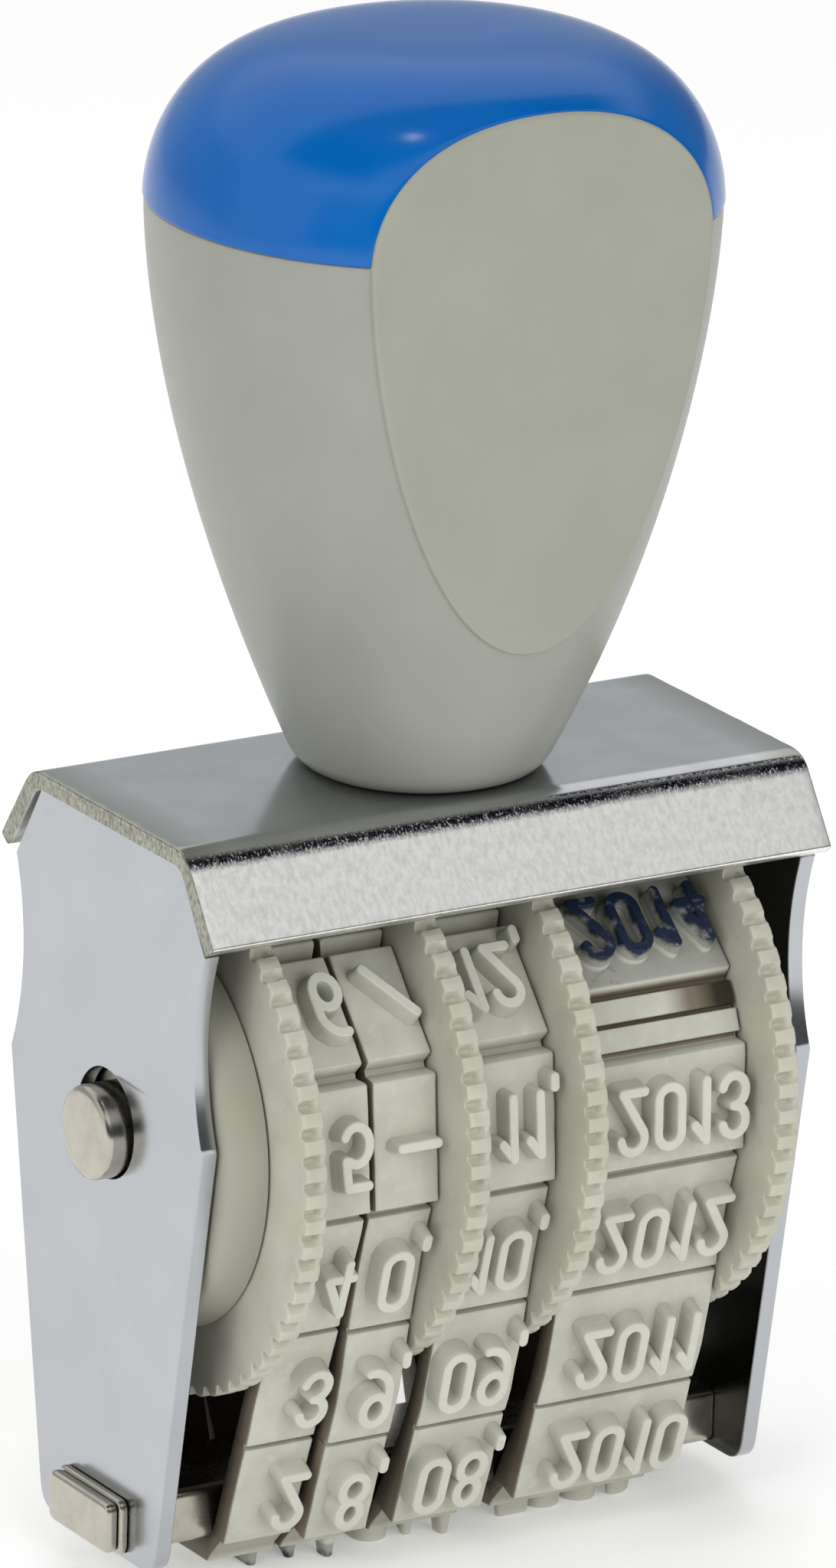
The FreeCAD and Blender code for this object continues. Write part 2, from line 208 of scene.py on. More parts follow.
def linear(hexText):
    # sRGB hex to linear light, with alpha 1
    values = np.array([int(hexText[i:i + 2], 16) for i in (1, 3, 5)]) / 255
    values = np.where(values <= 0.04045, values / 12.92, ((values + 0.055) / 1.055) ** 2.4)
    return (*[float(v) for v in values], 1.0)


def addNode(tree, kind, inputs=(), output=0, **settings):
    # adds one node and returns one of its outputs. The inputs are a list in the node's own order or a
    # dictionary by name or number, and each is a socket to link, a hex colour, a vector or a number
    node = tree.nodes.new("ShaderNode" + kind)
    for name, value in settings.items():
        setattr(node, name, value)
    for key, value in inputs.items() if isinstance(inputs, dict) else enumerate(inputs):
        if isinstance(value, bpy.types.NodeSocket):
            tree.links.new(value, node.inputs[key])
        else:
            node.inputs[key].default_value = linear(value) if isinstance(value, str) else value
    return node.outputs[output] if node.outputs else None


asColour = {"output": 2, "data_type": "RGBA"}        # a Mix node for colours, whose inputs are 0, 6 and 7
times = {"operation": "MULTIPLY"}


def newMaterial(name):
    # an empty material, its own addNode, and the point in metres that its patterns read
    material = bpy.data.materials.new(name)
    material.use_nodes = True
    material.node_tree.nodes.clear()
    add = partial(addNode, material.node_tree)
    return material, add, add("TexCoord", output="Object")


# the inside colour is painted shade on the faces inside the frame
zincSettings = {"colour": "#b8babe", "shade": "#b3b6ba", "inside": "#4c4b46", "roughness": (0.2, 0.25),
                "blotch": 5.0, "grain": 0.12, "grainDepth": 0.0004}


def zincSheet():
    # zinc-plated, passivated sheet steel, cold rolled: an even blue-grey satin with faint clouding
    # and a fine grain that spreads the highlights; the true grain is finer than it is drawn here.
    # Inside the frame its colour is darker: painted shade
    s = zincSettings
    material, add, place = newMaterial("zincPlatedSteelSheet")
    cloud = add("TexNoise", {"Vector": place, "Scale": 1 / (s["blotch"] * mm), "Detail": 4})
    grain = add("TexNoise", {"Vector": place, "Scale": 1 / (s["grain"] * mm), "Detail": 2})
    outside = add("Mix", {0: add("MapRange", [cloud, 0.35, 0.65]), 6: s["colour"], 7: s["shade"]}, **asColour)
    # painted shade: inward of the side plates' inner faces the colour turns to the dark inside colour
    away = add("Math", [add("SeparateXYZ", [place], "X")], operation="ABSOLUTE")
    inner = (frameHigh[0] - sheetThickness) * mm
    paintedShadeInside = add("MapRange", [away, inner + 0.1 * mm, inner])
    shader = add("BsdfPrincipled", {
        "Metallic": 1.0,
        "Base Color": add("Mix", {0: paintedShadeInside, 6: outside, 7: s["inside"]}, **asColour),
        "Roughness": add("MapRange", [cloud, 0.3, 0.7, *s["roughness"]]),
        "Normal": add("Bump", {"Distance": s["grainDepth"] * mm, "Height": grain})})
    add("OutputMaterial", {"Surface": shader})
    return material


coverSettings = {"colour": "#d0d2d3", "shade": "#c6c8ca", "cloud": 4.0,         # the level top
                 "warm": "#989a8b", "endSheenFrom": 3.0, "endSheenTo": 0.3,             # a painted sheen on the top, towards the sheared ends
                 "bright": "#fbfbf8", "dull": "#e2e2de", "flangeFrom": 0.5, "flangeTo": 0.9,
                 # painted reflection: a dark line along the bends, and painted white glints on it
                 "craze": "#34303c", "spark": "#ffffff", "fray": 0.5, "drift": 3.0,
                 "bendLineIn": (0.26, 0.42), "bendLineOut": (1.0, 0.66),              # depth below the top
                 "edge": "#a9a99c", "edgeDark": "#7f7e72", "edgeWidth": 0.12, "roughness": (0.15, 0.34),
                 "mottle": (0.45, 6, 0.7, (1.5, 1.0, 0.6)),             # size, detail, roughness, stretch
                 "streak": (0.22, 3, 0.6, (0.7, 1.6, 0.6)), "crack": (0.13, 3, 0.7, (1.0, 0.6, 0.6)),
                 "mottleDepth": 0.0025, "crackDepth": 0.03, "streakDepth": 0.015}


def coverSheet():
    # the same steel, bright: smooth on top, faintly mottled on the drawn flanges, with a painted dark
    # reflection line and painted glints along the bends over a fine bumped crack texture, and raw at the
    # sheared ends with a torn fracture
    # the top's colour is tinted towards both sheared ends: a painted sheen of the rolled-over edge
    s = coverSettings
    material, add, place = newMaterial("brightSteelCover")
    grain = {}
    for name in ("mottle", "streak", "crack"):
        size, detail, roughness, stretch = s[name]
        stretched = add("Mapping", {"Vector": place, "Scale": stretch})
        grain[name] = add("TexNoise", {"Vector": stretched, "Scale": 1 / (size * mm), "Detail": detail,
                                       "Roughness": roughness})
    drift = add("TexNoise", {"Vector": place, "Scale": 1 / (s["drift"] * mm), "Detail": 2})
    cloud = add("TexNoise", {"Vector": place, "Scale": 1 / (s["cloud"] * mm), "Detail": 3})
    half = (coverHigh[0] - coverLow[0]) / 2
    away = add("Math", [add("SeparateXYZ", [place], "X")], operation="ABSOLUTE")
    depth = add("Math", [coverTopZ * mm, add("SeparateXYZ", [place], "Z")], operation="SUBTRACT")
    frayed = add("Math", [grain["crack"], s["fray"] * mm, -0.5 * s["fray"] * mm], operation="MULTIPLY_ADD")
    depth = add("Math", [depth, frayed], operation="ADD")
    zones = [[edge * mm for edge in s[name]] for name in ("bendLineIn", "bendLineOut")]
    bendLine = add("Math", [add("MapRange", [depth, *zone]) for zone in zones], **times)
    flange = add("MapRange", [depth, s["flangeFrom"] * mm, s["flangeTo"] * mm])
    level = add("Mix", {0: add("MapRange", [cloud, 0.35, 0.65]), 6: s["colour"], 7: s["shade"]}, **asColour)
    # painted sheen: the top's colour is tinted towards both sheared ends
    ends = add("MapRange", [away, (half - s["endSheenFrom"]) * mm, (half - s["endSheenTo"]) * mm, 0, 0.7])
    level = add("Mix", {0: ends, 6: level, 7: s["warm"]}, **asColour)
    mottled = add("MapRange", [grain["mottle"], 0.4, 0.66])
    drawn = add("Mix", {0: mottled, 6: s["bright"], 7: s["dull"]}, **asColour)
    colour = add("Mix", {0: flange, 6: level, 7: drawn}, **asColour)
    # painted reflection: a dark line along each bend, patchy with the drift noise
    dark = add("Math", [bendLine, add("MapRange", [drift, 0.25, 0.5, 0.55, 1.0])], **times)
    colour = add("Mix", {0: dark, 6: colour, 7: s["craze"]}, **asColour)
    # painted glints where the crack noise peaks along that line
    paintedGlints = add("Math", [bendLine, add("MapRange", [grain["crack"], 0.56, 0.62])], **times)
    colour = add("Mix", {0: paintedGlints, 6: colour, 7: s["spark"]}, **asColour)
    sheared = add("MapRange", [away, (half - s["edgeWidth"]) * mm, (half - 0.4 * s["edgeWidth"]) * mm])
    streaked = add("MapRange", [grain["streak"], 0.4, 0.6])
    torn = add("Mix", {0: streaked, 6: s["edge"], 7: s["edgeDark"]}, **asColour)
    relief = None
    for zone, name in ((flange, "mottle"), (bendLine, "crack"), (sheared, "streak")):
        height = {"Distance": s[name + "Depth"] * mm, "Height": add("Math", [zone, grain[name]], **times)}
        relief = add("Bump", {**height, "Normal": relief} if relief else height)
    shader = add("BsdfPrincipled", {
        "Metallic": 1.0,
        "Base Color": add("Mix", {0: sheared, 6: colour, 7: torn}, **asColour),
        "Roughness": add("MapRange", [flange, 0, 1, *s["roughness"]]),
        "Normal": relief})
    add("OutputMaterial", {"Surface": shader})
    return material


nickelSettings = {"colour": "#bcb8ac", "shade": "#b2aea2", "roughness": (0.18, 0.3), "blotch": 1.6,
                  "scratch": 0.1, "scratchDepth": 0.0005}


def nickel():
    # bright nickel plate on turned or drawn steel: warm silver, small handling marks and dull patches
    s = nickelSettings
    material, add, place = newMaterial("nickelPlatedSteel")
    cloud = add("TexNoise", {"Vector": place, "Scale": 1 / (s["blotch"] * mm), "Detail": 5, "Roughness": 0.6})
    stretched = add("Mapping", {"Vector": place, "Scale": (1, 0.15, 0.5)})
    scratch = add("TexNoise", {"Vector": stretched, "Scale": 1 / (s["scratch"] * mm), "Detail": 2})
    clouded = add("MapRange", [cloud, 0.4, 0.65])
    shader = add("BsdfPrincipled", {
        "Metallic": 1.0,
        "Base Color": add("Mix", {0: clouded, 6: s["colour"], 7: s["shade"]}, **asColour),
        "Roughness": add("MapRange", [cloud, 0.35, 0.65, *s["roughness"]]),
        "Normal": add("Bump", {"Distance": s["scratchDepth"] * mm, "Height": scratch})})
    add("OutputMaterial", {"Surface": shader})
    return material


def mouldedPlastic(name, colour, shade, roughness, grain, grainDepth, gloss=0.5, blotch=6.0):
    # injection-moulded ABS or similar: even colour with a very faint cloud, and the tool's fine
    # spark-eroded grain, drawn as coarse as it has to be to show
    material, add, place = newMaterial(name)
    cloud = add("TexNoise", {"Vector": place, "Scale": 1 / (blotch * mm), "Detail": 3})
    fine = add("TexNoise", {"Vector": place, "Scale": 1 / (grain * mm), "Detail": 2, "Roughness": 0.6})
    shader = add("BsdfPrincipled", {
        "IOR": 1.53, "Specular IOR Level": gloss,
        "Base Color": add("Mix", {0: add("MapRange", [cloud, 0.35, 0.65]), 6: colour, 7: shade}, **asColour),
        "Roughness": add("MapRange", [fine, 0.3, 0.7, *roughness]),
        "Normal": add("Bump", {"Distance": grainDepth * mm, "Height": fine})})
    add("OutputMaterial", {"Surface": shader})
    return material


wheelSettings = {"colour": "#bab9ab", "shade": "#afae9f", "dust": "#8f8c7c", "roughness": (0.5, 0.62),
                 "blotch": 4.0, "grime": 1.6, "grain": 0.12, "grainDepth": 0.002, "glow": (0.5, 0.4, 0.3)}


def wheelPlastic():
    # matt acetal: beige, slightly translucent-looking, with hand grime in patches on the faces
    s = wheelSettings
    material, add, place = newMaterial("mattAcetalWheel")
    cloud = add("TexNoise", {"Vector": place, "Scale": 1 / (s["blotch"] * mm), "Detail": 4})
    grime = add("TexNoise", {"Vector": place, "Scale": 1 / (s["grime"] * mm), "Detail": 5, "Roughness": 0.65})
    fine = add("TexNoise", {"Vector": place, "Scale": 1 / (s["grain"] * mm), "Detail": 2})
    clean = add("Mix", {0: add("MapRange", [cloud, 0.35, 0.65]), 6: s["colour"], 7: s["shade"]}, **asColour)
    dusty = add("MapRange", [grime, 0.56, 0.8, 0, 0.45])
    shader = add("BsdfPrincipled", {
        "IOR": 1.48, "Subsurface Weight": 0.12, "Subsurface Scale": 1.0,
        "Subsurface Radius": [reach * mm for reach in s["glow"]],
        "Base Color": add("Mix", {0: dusty, 6: clean, 7: s["dust"]}, **asColour),
        "Roughness": add("MapRange", [fine, 0.3, 0.7, *s["roughness"]]),
        "Normal": add("Bump", {"Distance": s["grainDepth"] * mm, "Height": fine})})
    add("OutputMaterial", {"Surface": shader})
    return material


# the brown and the near-black colours are painted shade, the near black also for the smudge
rubberSettings = {"colour": "#bcbcaf", "shade": "#b1b1a4", "bloom": "#c9c9bf", "crest": "#cbcbc0",
                  "stain": "#655845", "deepShadeAndSmudge": "#2a2118", "wash": "#5a5b5b",
                  "ink": "#10182a", "inkBlue": "#152642", "roughness": (0.55, 0.72),
                  "blotch": 2.2, "patch": 0.8, "grain": 0.1, "grainDepth": 0.003}


def typeRubber():
    # vulcanised grey-beige natural rubber: matt and soft-edged. The ink value on each point says what
    # lies on it: below zero painted shade, brown and then near black, in the grooves, on the side walls and
    # on the inner surface, and a dark smudge on the last bar; above zero the paler tops of dry type, a thin
    # grey wash of ink, and patchy blue-black stamp ink
    s = rubberSettings
    material, add, place = newMaterial("vulcanisedTypeRubber")
    cloud = add("TexNoise", {"Vector": place, "Scale": 1 / (s["blotch"] * mm), "Detail": 4})
    patch = add("TexNoise", {"Vector": place, "Scale": 1 / (s["patch"] * mm), "Detail": 4, "Roughness": 0.6})
    fine = add("TexNoise", {"Vector": place, "Scale": 1 / (s["grain"] * mm), "Detail": 3, "Roughness": 0.6})
    ink = add("Attribute", output="Fac", attribute_name="ink")
    colour = add("Mix", {0: add("MapRange", [cloud, 0.35, 0.65]), 6: s["colour"], 7: s["shade"]}, **asColour)
    # below zero the brown and then the near-black layer paint shade; the near black also darkens the smudge
    layers = [("bloom", patch, 0.55, 0.75, 0.5), ("crest", ink, 0.04, 0.06, 0.5),
              ("stain", ink, -0.1, -1.0, 0.9), ("deepShadeAndSmudge", ink, -1.2, -2.0, 1.0),
              ("wash", ink, 0.2, 0.3, 0.5)]
    for name, source, start, full, most in layers:
        share = add("MapRange", [source, start, full, 0, most])
        colour = add("Mix", {0: share, 6: colour, 7: s[name]}, **asColour)
    spread = add("Math", [patch, 1.2, -0.26], operation="MULTIPLY_ADD")
    inked = add("MapRange", [add("Math", [ink, spread], operation="SUBTRACT"), 0.12, 0.45])
    dark = add("Mix", {0: add("MapRange", [fine, 0.4, 0.65]), 6: s["inkBlue"], 7: s["ink"]}, **asColour)
    shader = add("BsdfPrincipled", {
        "IOR": 1.52,
        "Base Color": add("Mix", {0: inked, 6: colour, 7: dark}, **asColour),
        "Roughness": add("MapRange", [fine, 0.3, 0.7, *s["roughness"]]),
        "Normal": add("Bump", {"Distance": s["grainDepth"] * mm, "Height": fine})})
    add("OutputMaterial", {"Surface": shader})
    return material


zinc = zincSheet()
cover = coverSheet()
plated = nickel()
bodyPlastic = mouldedPlastic("satinGreyAbs", "#8e9087", "#8a8c83", (0.32, 0.42), 0.14, 0.001)
capPlastic = mouldedPlastic("glossBlueAbs", "#005ba6", "#0057a2", (0.14, 0.2), 0.2, 0.0003, 0.3)
labelPlastic = mouldedPlastic("grainedGreyAbs", "#949589", "#909185", (0.5, 0.6), 0.16, 0.0025)
wheelWhite = wheelPlastic()
discPlastic = mouldedPlastic("smoothBeigeAcetal", "#989789", "#939284", (0.36, 0.46), 0.2, 0.0008)
rubber = typeRubber()
print("materials made")


handle = {"widestUp": 74.35, "domeUp": 83.87, "narrowUp": 43.6,      # heights above the side plates' feet
          "widestX": 15.92, "widestY": 14.9, "narrowX": 7.34, "narrowY": 7.45, "power": 2.07,
          "fallX": 1.556, "fallY": 2.324, "domeInner": 1.986, "domeOuter": 1 / 3.55,    # the outline's powers
          "bodyInset": 0.09, "facetDepth": 11.27, "facetRound": 0.28, "baseRound": 1.25, "footIn": 0.9,
          "jointRound": 0.14, "labelFront": 11.5, "labelBack": 11.05, "labelOutline": 11.2,
          "labelGap": 0.1, "labelRound": 0.22}
toAxis = 99              # more than any ring's reach: draws it in to a point on the handle's axis


def bulbWidths(z):
    # half widths of the bulb at height z: below the widest height they fall off as a power of the way
    # down, above it both are scaled by (1 - rise ^ domeInner) ^ domeOuter
    h = handle
    up = np.clip(np.asarray(z, float) - footZ, 0, h["domeUp"])
    down = np.clip((h["widestUp"] - up) / (h["widestUp"] - h["narrowUp"]), 0, None)
    rise = np.clip((up - h["widestUp"]) / (h["domeUp"] - h["widestUp"]), 0, 1)
    scale = (1 - rise ** h["domeInner"]) ** h["domeOuter"]
    halfX = (h["widestX"] - (h["widestX"] - h["narrowX"]) * down ** h["fallX"]) * scale
    halfY = (h["widestY"] - (h["widestY"] - h["narrowY"]) * down ** h["fallY"]) * scale
    return halfX, halfY


def bulbSurface(z, inset, columns=384):
    # rings of a superellipse, |x / a| ^ n + |y / b| ^ n = 1, one for each height, whose y is limited to
    # the facet's depth through a short parabola, so that the facet's edge is rounded
    h = handle
    angle = np.linspace(0, 2 * np.pi, columns, endpoint=False)
    c, s = np.cos(angle), np.sin(angle)
    halfX, halfY = bulbWidths(z)
    x = np.outer(halfX - inset, np.sign(c) * np.abs(c) ** (2 / h["power"]))
    y = np.outer(halfY - inset, np.sign(s) * np.abs(s) ** (2 / h["power"]))
    limit, soft = h["facetDepth"], h["facetRound"]
    over = np.clip(np.abs(y) - (limit - soft), 0, 2 * soft)
    y = np.sign(y) * (np.minimum(np.abs(y), limit + soft) - over ** 2 / (4 * soft))
    return np.stack([x, y, np.broadcast_to(np.reshape(z, (-1, 1)), x.shape)], -1)


def shrunk(ring, amount, z):
    # a ring drawn in towards the handle's axis by amount, at height z
    reach = np.linalg.norm(ring[:, :2], axis=1, keepdims=True)
    moved = ring.copy()
    moved[:, :2] = ring[:, :2] * np.clip(1 - amount / np.maximum(reach, 1e-6), 0, 1)
    moved[:, 2] = z
    return moved


def handleBody():
    # the grey bulb from the cover to the cap's joint: its rings, below them a foot rounded by a
    # quadratic curve, above them an edge broken by a quarter circle, and a flat end at each
    h = handle
    jointZ = boxOf("handle_cap")[0][2]
    rows = bulbSurface(np.linspace(coverTopZ + h["baseRound"], jointZ - h["jointRound"], 150), h["bodyInset"])
    wall = bulbSurface(np.array([coverTopZ]), h["bodyInset"])[0]
    under = shrunk(wall, h["footIn"], coverTopZ)
    foot = [(1 - t) ** 2 * under + 2 * t * (1 - t) * wall + t ** 2 * rows[0]
            for t in np.linspace(0, 1, 10)[:-1]]
    lip = [shrunk(rows[-1], h["jointRound"] * (1 - math.cos(t)),
                  jointZ - h["jointRound"] * (1 - math.sin(t))) for t in np.linspace(0.2, 0.5 * np.pi, 4)]
    closeLow = [shrunk(foot[0], toAxis, coverTopZ)]
    closeHigh = [shrunk(rows[-1], toAxis, jointZ)]
    return gridShell(np.array(closeLow + foot + list(rows) + lip + closeHigh), False, True)


def handleCap():
    # the blue dome: rows spaced so that the scale falls as 1 - q squared, which is even at both ends,
    # closed below by its rounded edge and a flat underside
    h = handle
    jointZ = boxOf("handle_cap")[0][2]
    q = np.linspace(0, 1, 110)
    rise = (1 - (1 - q ** 2) ** (1 / h["domeOuter"])) ** (1 / h["domeInner"])
    dome = footZ + h["widestUp"] + rise * (h["domeUp"] - h["widestUp"])
    z = np.unique(np.clip(dome, jointZ + h["jointRound"], boxOf("handle_cap")[1][2]))
    rows = bulbSurface(z, 0.0)
    rows[-1, :, :2] = 0
    edge = [shrunk(rows[0], h["jointRound"] * (1 - math.sin(t)), jointZ + h["jointRound"] * (1 - math.cos(t)))
            for t in np.linspace(0, 1.4, 5)]
    close = [shrunk(rows[0], toAxis, jointZ)]
    return gridShell(np.array(close + edge + list(rows)), False, True)


def labelOutline(depth, count=360):
    # where the bulb's surface is depth away from its middle plane, as (x, z): an egg. The heights run
    # as a cosine between the two where the half depth equals depth
    h = handle
    down = ((h["widestY"] - depth) / (h["widestY"] - h["narrowY"])) ** (1 / h["fallY"])
    rise = (1 - (depth / h["widestY"]) ** (1 / h["domeOuter"])) ** (1 / h["domeInner"])
    lowZ = footZ + h["widestUp"] - down * (h["widestUp"] - h["narrowUp"])
    highZ = footZ + h["widestUp"] + rise * (h["domeUp"] - h["widestUp"])
    angle = np.linspace(0, 2 * np.pi, count, endpoint=False)
    z = (lowZ + highZ) / 2 - (highZ - lowZ) / 2 * np.cos(angle)
    halfX, halfY = bulbWidths(z)
    share = np.clip(1 - (depth / np.maximum(halfY, 1e-6)) ** h["power"], 0, 1)
    x = np.sign(np.sin(angle)) * halfX * share ** (1 / h["power"])
    return np.column_stack([x, z])


def labelPlate(side):
    # the egg carried back into the handle. Its front edge is a quarter circle, drawn in along the
    # egg's normal as 1 - cos and back as 1 - sin, and both its faces are flat
    h = handle
    egg = labelOutline(h["labelOutline"])
    centre = egg.mean(0)
    ahead = np.roll(egg, -1, 0) - np.roll(egg, 1, 0)
    length = np.maximum(np.linalg.norm(ahead, axis=1, keepdims=True), 1e-9)
    inward = np.column_stack([ahead[:, 1], -ahead[:, 0]]) / length
    inward *= np.sign(((centre - egg) * inward).sum(1))[:, None]
    turn = np.linspace(0, 0.5 * np.pi, 7)
    rings = [(h["labelGap"], h["labelBack"])]
    rings += [(h["labelGap"] + h["labelRound"] * (1 - math.cos(t)),
               h["labelFront"] - h["labelRound"] * (1 - math.sin(t))) for t in turn]
    loops = []
    for gap, depth in rings:
        x, z = (egg + inward * gap).T
        loops.append(np.column_stack([x, np.full(len(egg), side * depth), z]))
    back, last = loops[0], loops[-1]
    middle = last.mean(0)
    loops += [middle + (last - middle) * share for share in (0.8, 0.5, 0.2, 0.0)]
    return gridShell(np.array([np.broadcast_to(back.mean(0), back.shape)] + loops), False, True)


settle(buildPiece("handleBody", [handleBody()], 50), "root", bodyPlastic, "handle_body")
settle(buildPiece("handleCap", [handleCap()], 50), "root", capPlastic, "handle_cap")
for node, side in (("front_label_plate", -1), ("rear_label_plate", 1)):
    settle(buildPiece(inCamelCase(node), [labelPlate(side)]), "root", labelPlastic, node)
print("handle made")


# the outline's corners are (y, height above the feet)
sheet = {"thickness": sheetThickness, "halfWidth": (frameHigh[0] - frameLow[0]) / 2, "arris": 0.1,
         "shoulder": (10.25, 37.0), "hollow": (9.33, 31.0), "bump": (10.46, 25.8), "footHalf": 6.15,
         "webHalf": 7.55, "footRound": 1.43, "holeRadius": 3.1, "axleGap": 0.04,
         "slotHalf": 3.35, "slotUp": (0.45, 3.45), "slotRound": 0.3}


def arcThrough(first, middle, last, count):
    # points on the circle through three points, from the first to the last: its centre is as far from
    # all three, and the angle runs evenly
    a, b, c = (np.array(p, float) for p in (first, middle, last))
    centre = np.linalg.solve(2 * np.array([b - a, c - a]), np.array([b @ b - a @ a, c @ c - a @ a]))
    angles = [math.atan2(*(p - centre)[::-1]) for p in (a, b, c)]
    turn = np.unwrap(angles)
    t = np.linspace(turn[0], turn[2], count)
    return centre + np.linalg.norm(a - centre) * np.column_stack([np.cos(t), np.sin(t)])


def sideOutline():
    # the rear half of the side plate's outline, from the top down, then its mirror image, as (y, z)
    s = sheet
    toe = roundedLoop([(0, 0), (s["footHalf"], 0), s["bump"]], [0.01, s["footRound"], 0.01], 8)[9:18]
    curve = arcThrough(s["shoulder"], s["hollow"], s["bump"], 28)
    half = np.concatenate([[(s["webHalf"], webTopZ - footZ)], curve, toe[::-1]])
    outline = np.concatenate([half, half[::-1] * (-1, 1)])
    return outline + (0, footZ)


def sidePlate(side):
    # a plate cut from the outline, with the axle's hole and the bridge bar's slot, stood up at one
    # side. The axle sags to the bottom of its hole
    s = sheet
    angle = np.linspace(0, 2 * np.pi, 72, endpoint=False)
    holeZ = axleZ + s["holeRadius"] - axleRadius - s["axleGap"]
    hole = np.column_stack([np.cos(angle), np.sin(angle)]) * s["holeRadius"] + (0, holeZ)
    low, high = (footZ + up for up in s["slotUp"])
    slot = roundedLoop([(-s["slotHalf"], low), (s["slotHalf"], low), (s["slotHalf"], high),
                        (-s["slotHalf"], high)], s["slotRound"], 4)
    mesh = flatPlate("plate", [sideOutline(), hole, slot], s["thickness"], s["arris"])
    middle = side * (s["halfWidth"] - s["thickness"] / 2) * mm
    turn = Matrix(((0, 0, 1, middle), (1, 0, 0, 0), (0, 1, 0, 0), (0, 0, 0, 1)))   # y, z, depth to x, y, z
    mesh.transform(turn)
    return mesh


def frameSheet():
    # both side plates and the web that joins them under the cover
    s = sheet
    work = bmesh.new()
    for side in (-1, 1):
        mesh = sidePlate(side)
        work.from_mesh(mesh)
        bpy.data.meshes.remove(mesh)
    inner = s["halfWidth"] - s["thickness"] + 0.02
    web = sectionsAlongX([(x, s["webHalf"] - 0.05, webTopZ - s["thickness"], webTopZ - 0.01, s["arris"])
                          for x in (-inner, inner)])
    mesh = bpy.data.meshes.new("web")
    mesh.from_pydata((web[0] * mm).tolist(), [], web[1].tolist())
    work.from_mesh(mesh)
    bpy.data.meshes.remove(mesh)
    bmesh.ops.remove_doubles(work, verts=work.verts, dist=0.001 * mm)
    bmesh.ops.dissolve_degenerate(work, edges=work.edges, dist=0.0005 * mm)
    bmesh.ops.recalc_face_normals(work, faces=work.faces)
    mesh = bpy.data.meshes.new("frameSheet")
    work.to_mesh(mesh)
    work.free()
    mesh.shade_smooth()
    mesh.set_sharp_from_angle(angle=math.radians(32))
    piece = bpy.data.objects.new("frameSheet", mesh)
    bpy.context.scene.collection.objects.link(piece)
    evenShade = piece.modifiers.new("evenShade", "WEIGHTED_NORMAL")     # keeps large flat faces even
    evenShade.keep_sharp = True
    evenShade.weight = 100
    return piece


channel = {"topHalf": 8.4, "flangeHalf": 11.55, "flangeDrop": 4.6, "thickness": sheetThickness, "bend": 1.2,
           "rollOver": 0.16, "tear": 0.07, "arris": 0.1, "step": 0.16}


def channelCentreline():
    # the cover's outer line in the (y, z) plane, from the front flange's edge to the rear one's: three
    # straights and two bends, sampled closely, with its outward direction at each point
    c = channel
    lowZ = coverTopZ - c["flangeDrop"]
    corners = np.array([(-c["flangeHalf"], lowZ), (-c["topHalf"], coverTopZ), (c["topHalf"], coverTopZ),
                        (c["flangeHalf"], lowZ)])
    points = [corners[:1]]
    for i in (1, 2):
        back = (corners[i - 1] - corners[i]) / np.linalg.norm(corners[i - 1] - corners[i])
        ahead = (corners[i + 1] - corners[i]) / np.linalg.norm(corners[i + 1] - corners[i])
        t = np.linspace(0, 1, 15)[:, None]
        first, last = corners[i] + back * c["bend"], corners[i] + ahead * c["bend"]
        points.append((1 - t) ** 2 * first + 2 * t * (1 - t) * corners[i] + t ** 2 * last)
    points.append(corners[3:])
    path = np.concatenate(points)
    step = np.linalg.norm(np.diff(path, axis=0), axis=1)
    along = np.concatenate([[0], np.cumsum(step)])
    atEdges = [0.03, 0.07, along[-1] - 0.07, along[-1] - 0.03]
    even = np.unique(np.concatenate([np.arange(0, along[-1], c["step"]), along, atEdges]))
    path = np.column_stack([np.interp(even, along, path[:, k]) for k in (0, 1)])
    tangent = np.gradient(path, even, axis=0)
    tangent /= np.linalg.norm(tangent, axis=1, keepdims=True)
    return path, np.column_stack([-tangent[:, 1], tangent[:, 0]]), even


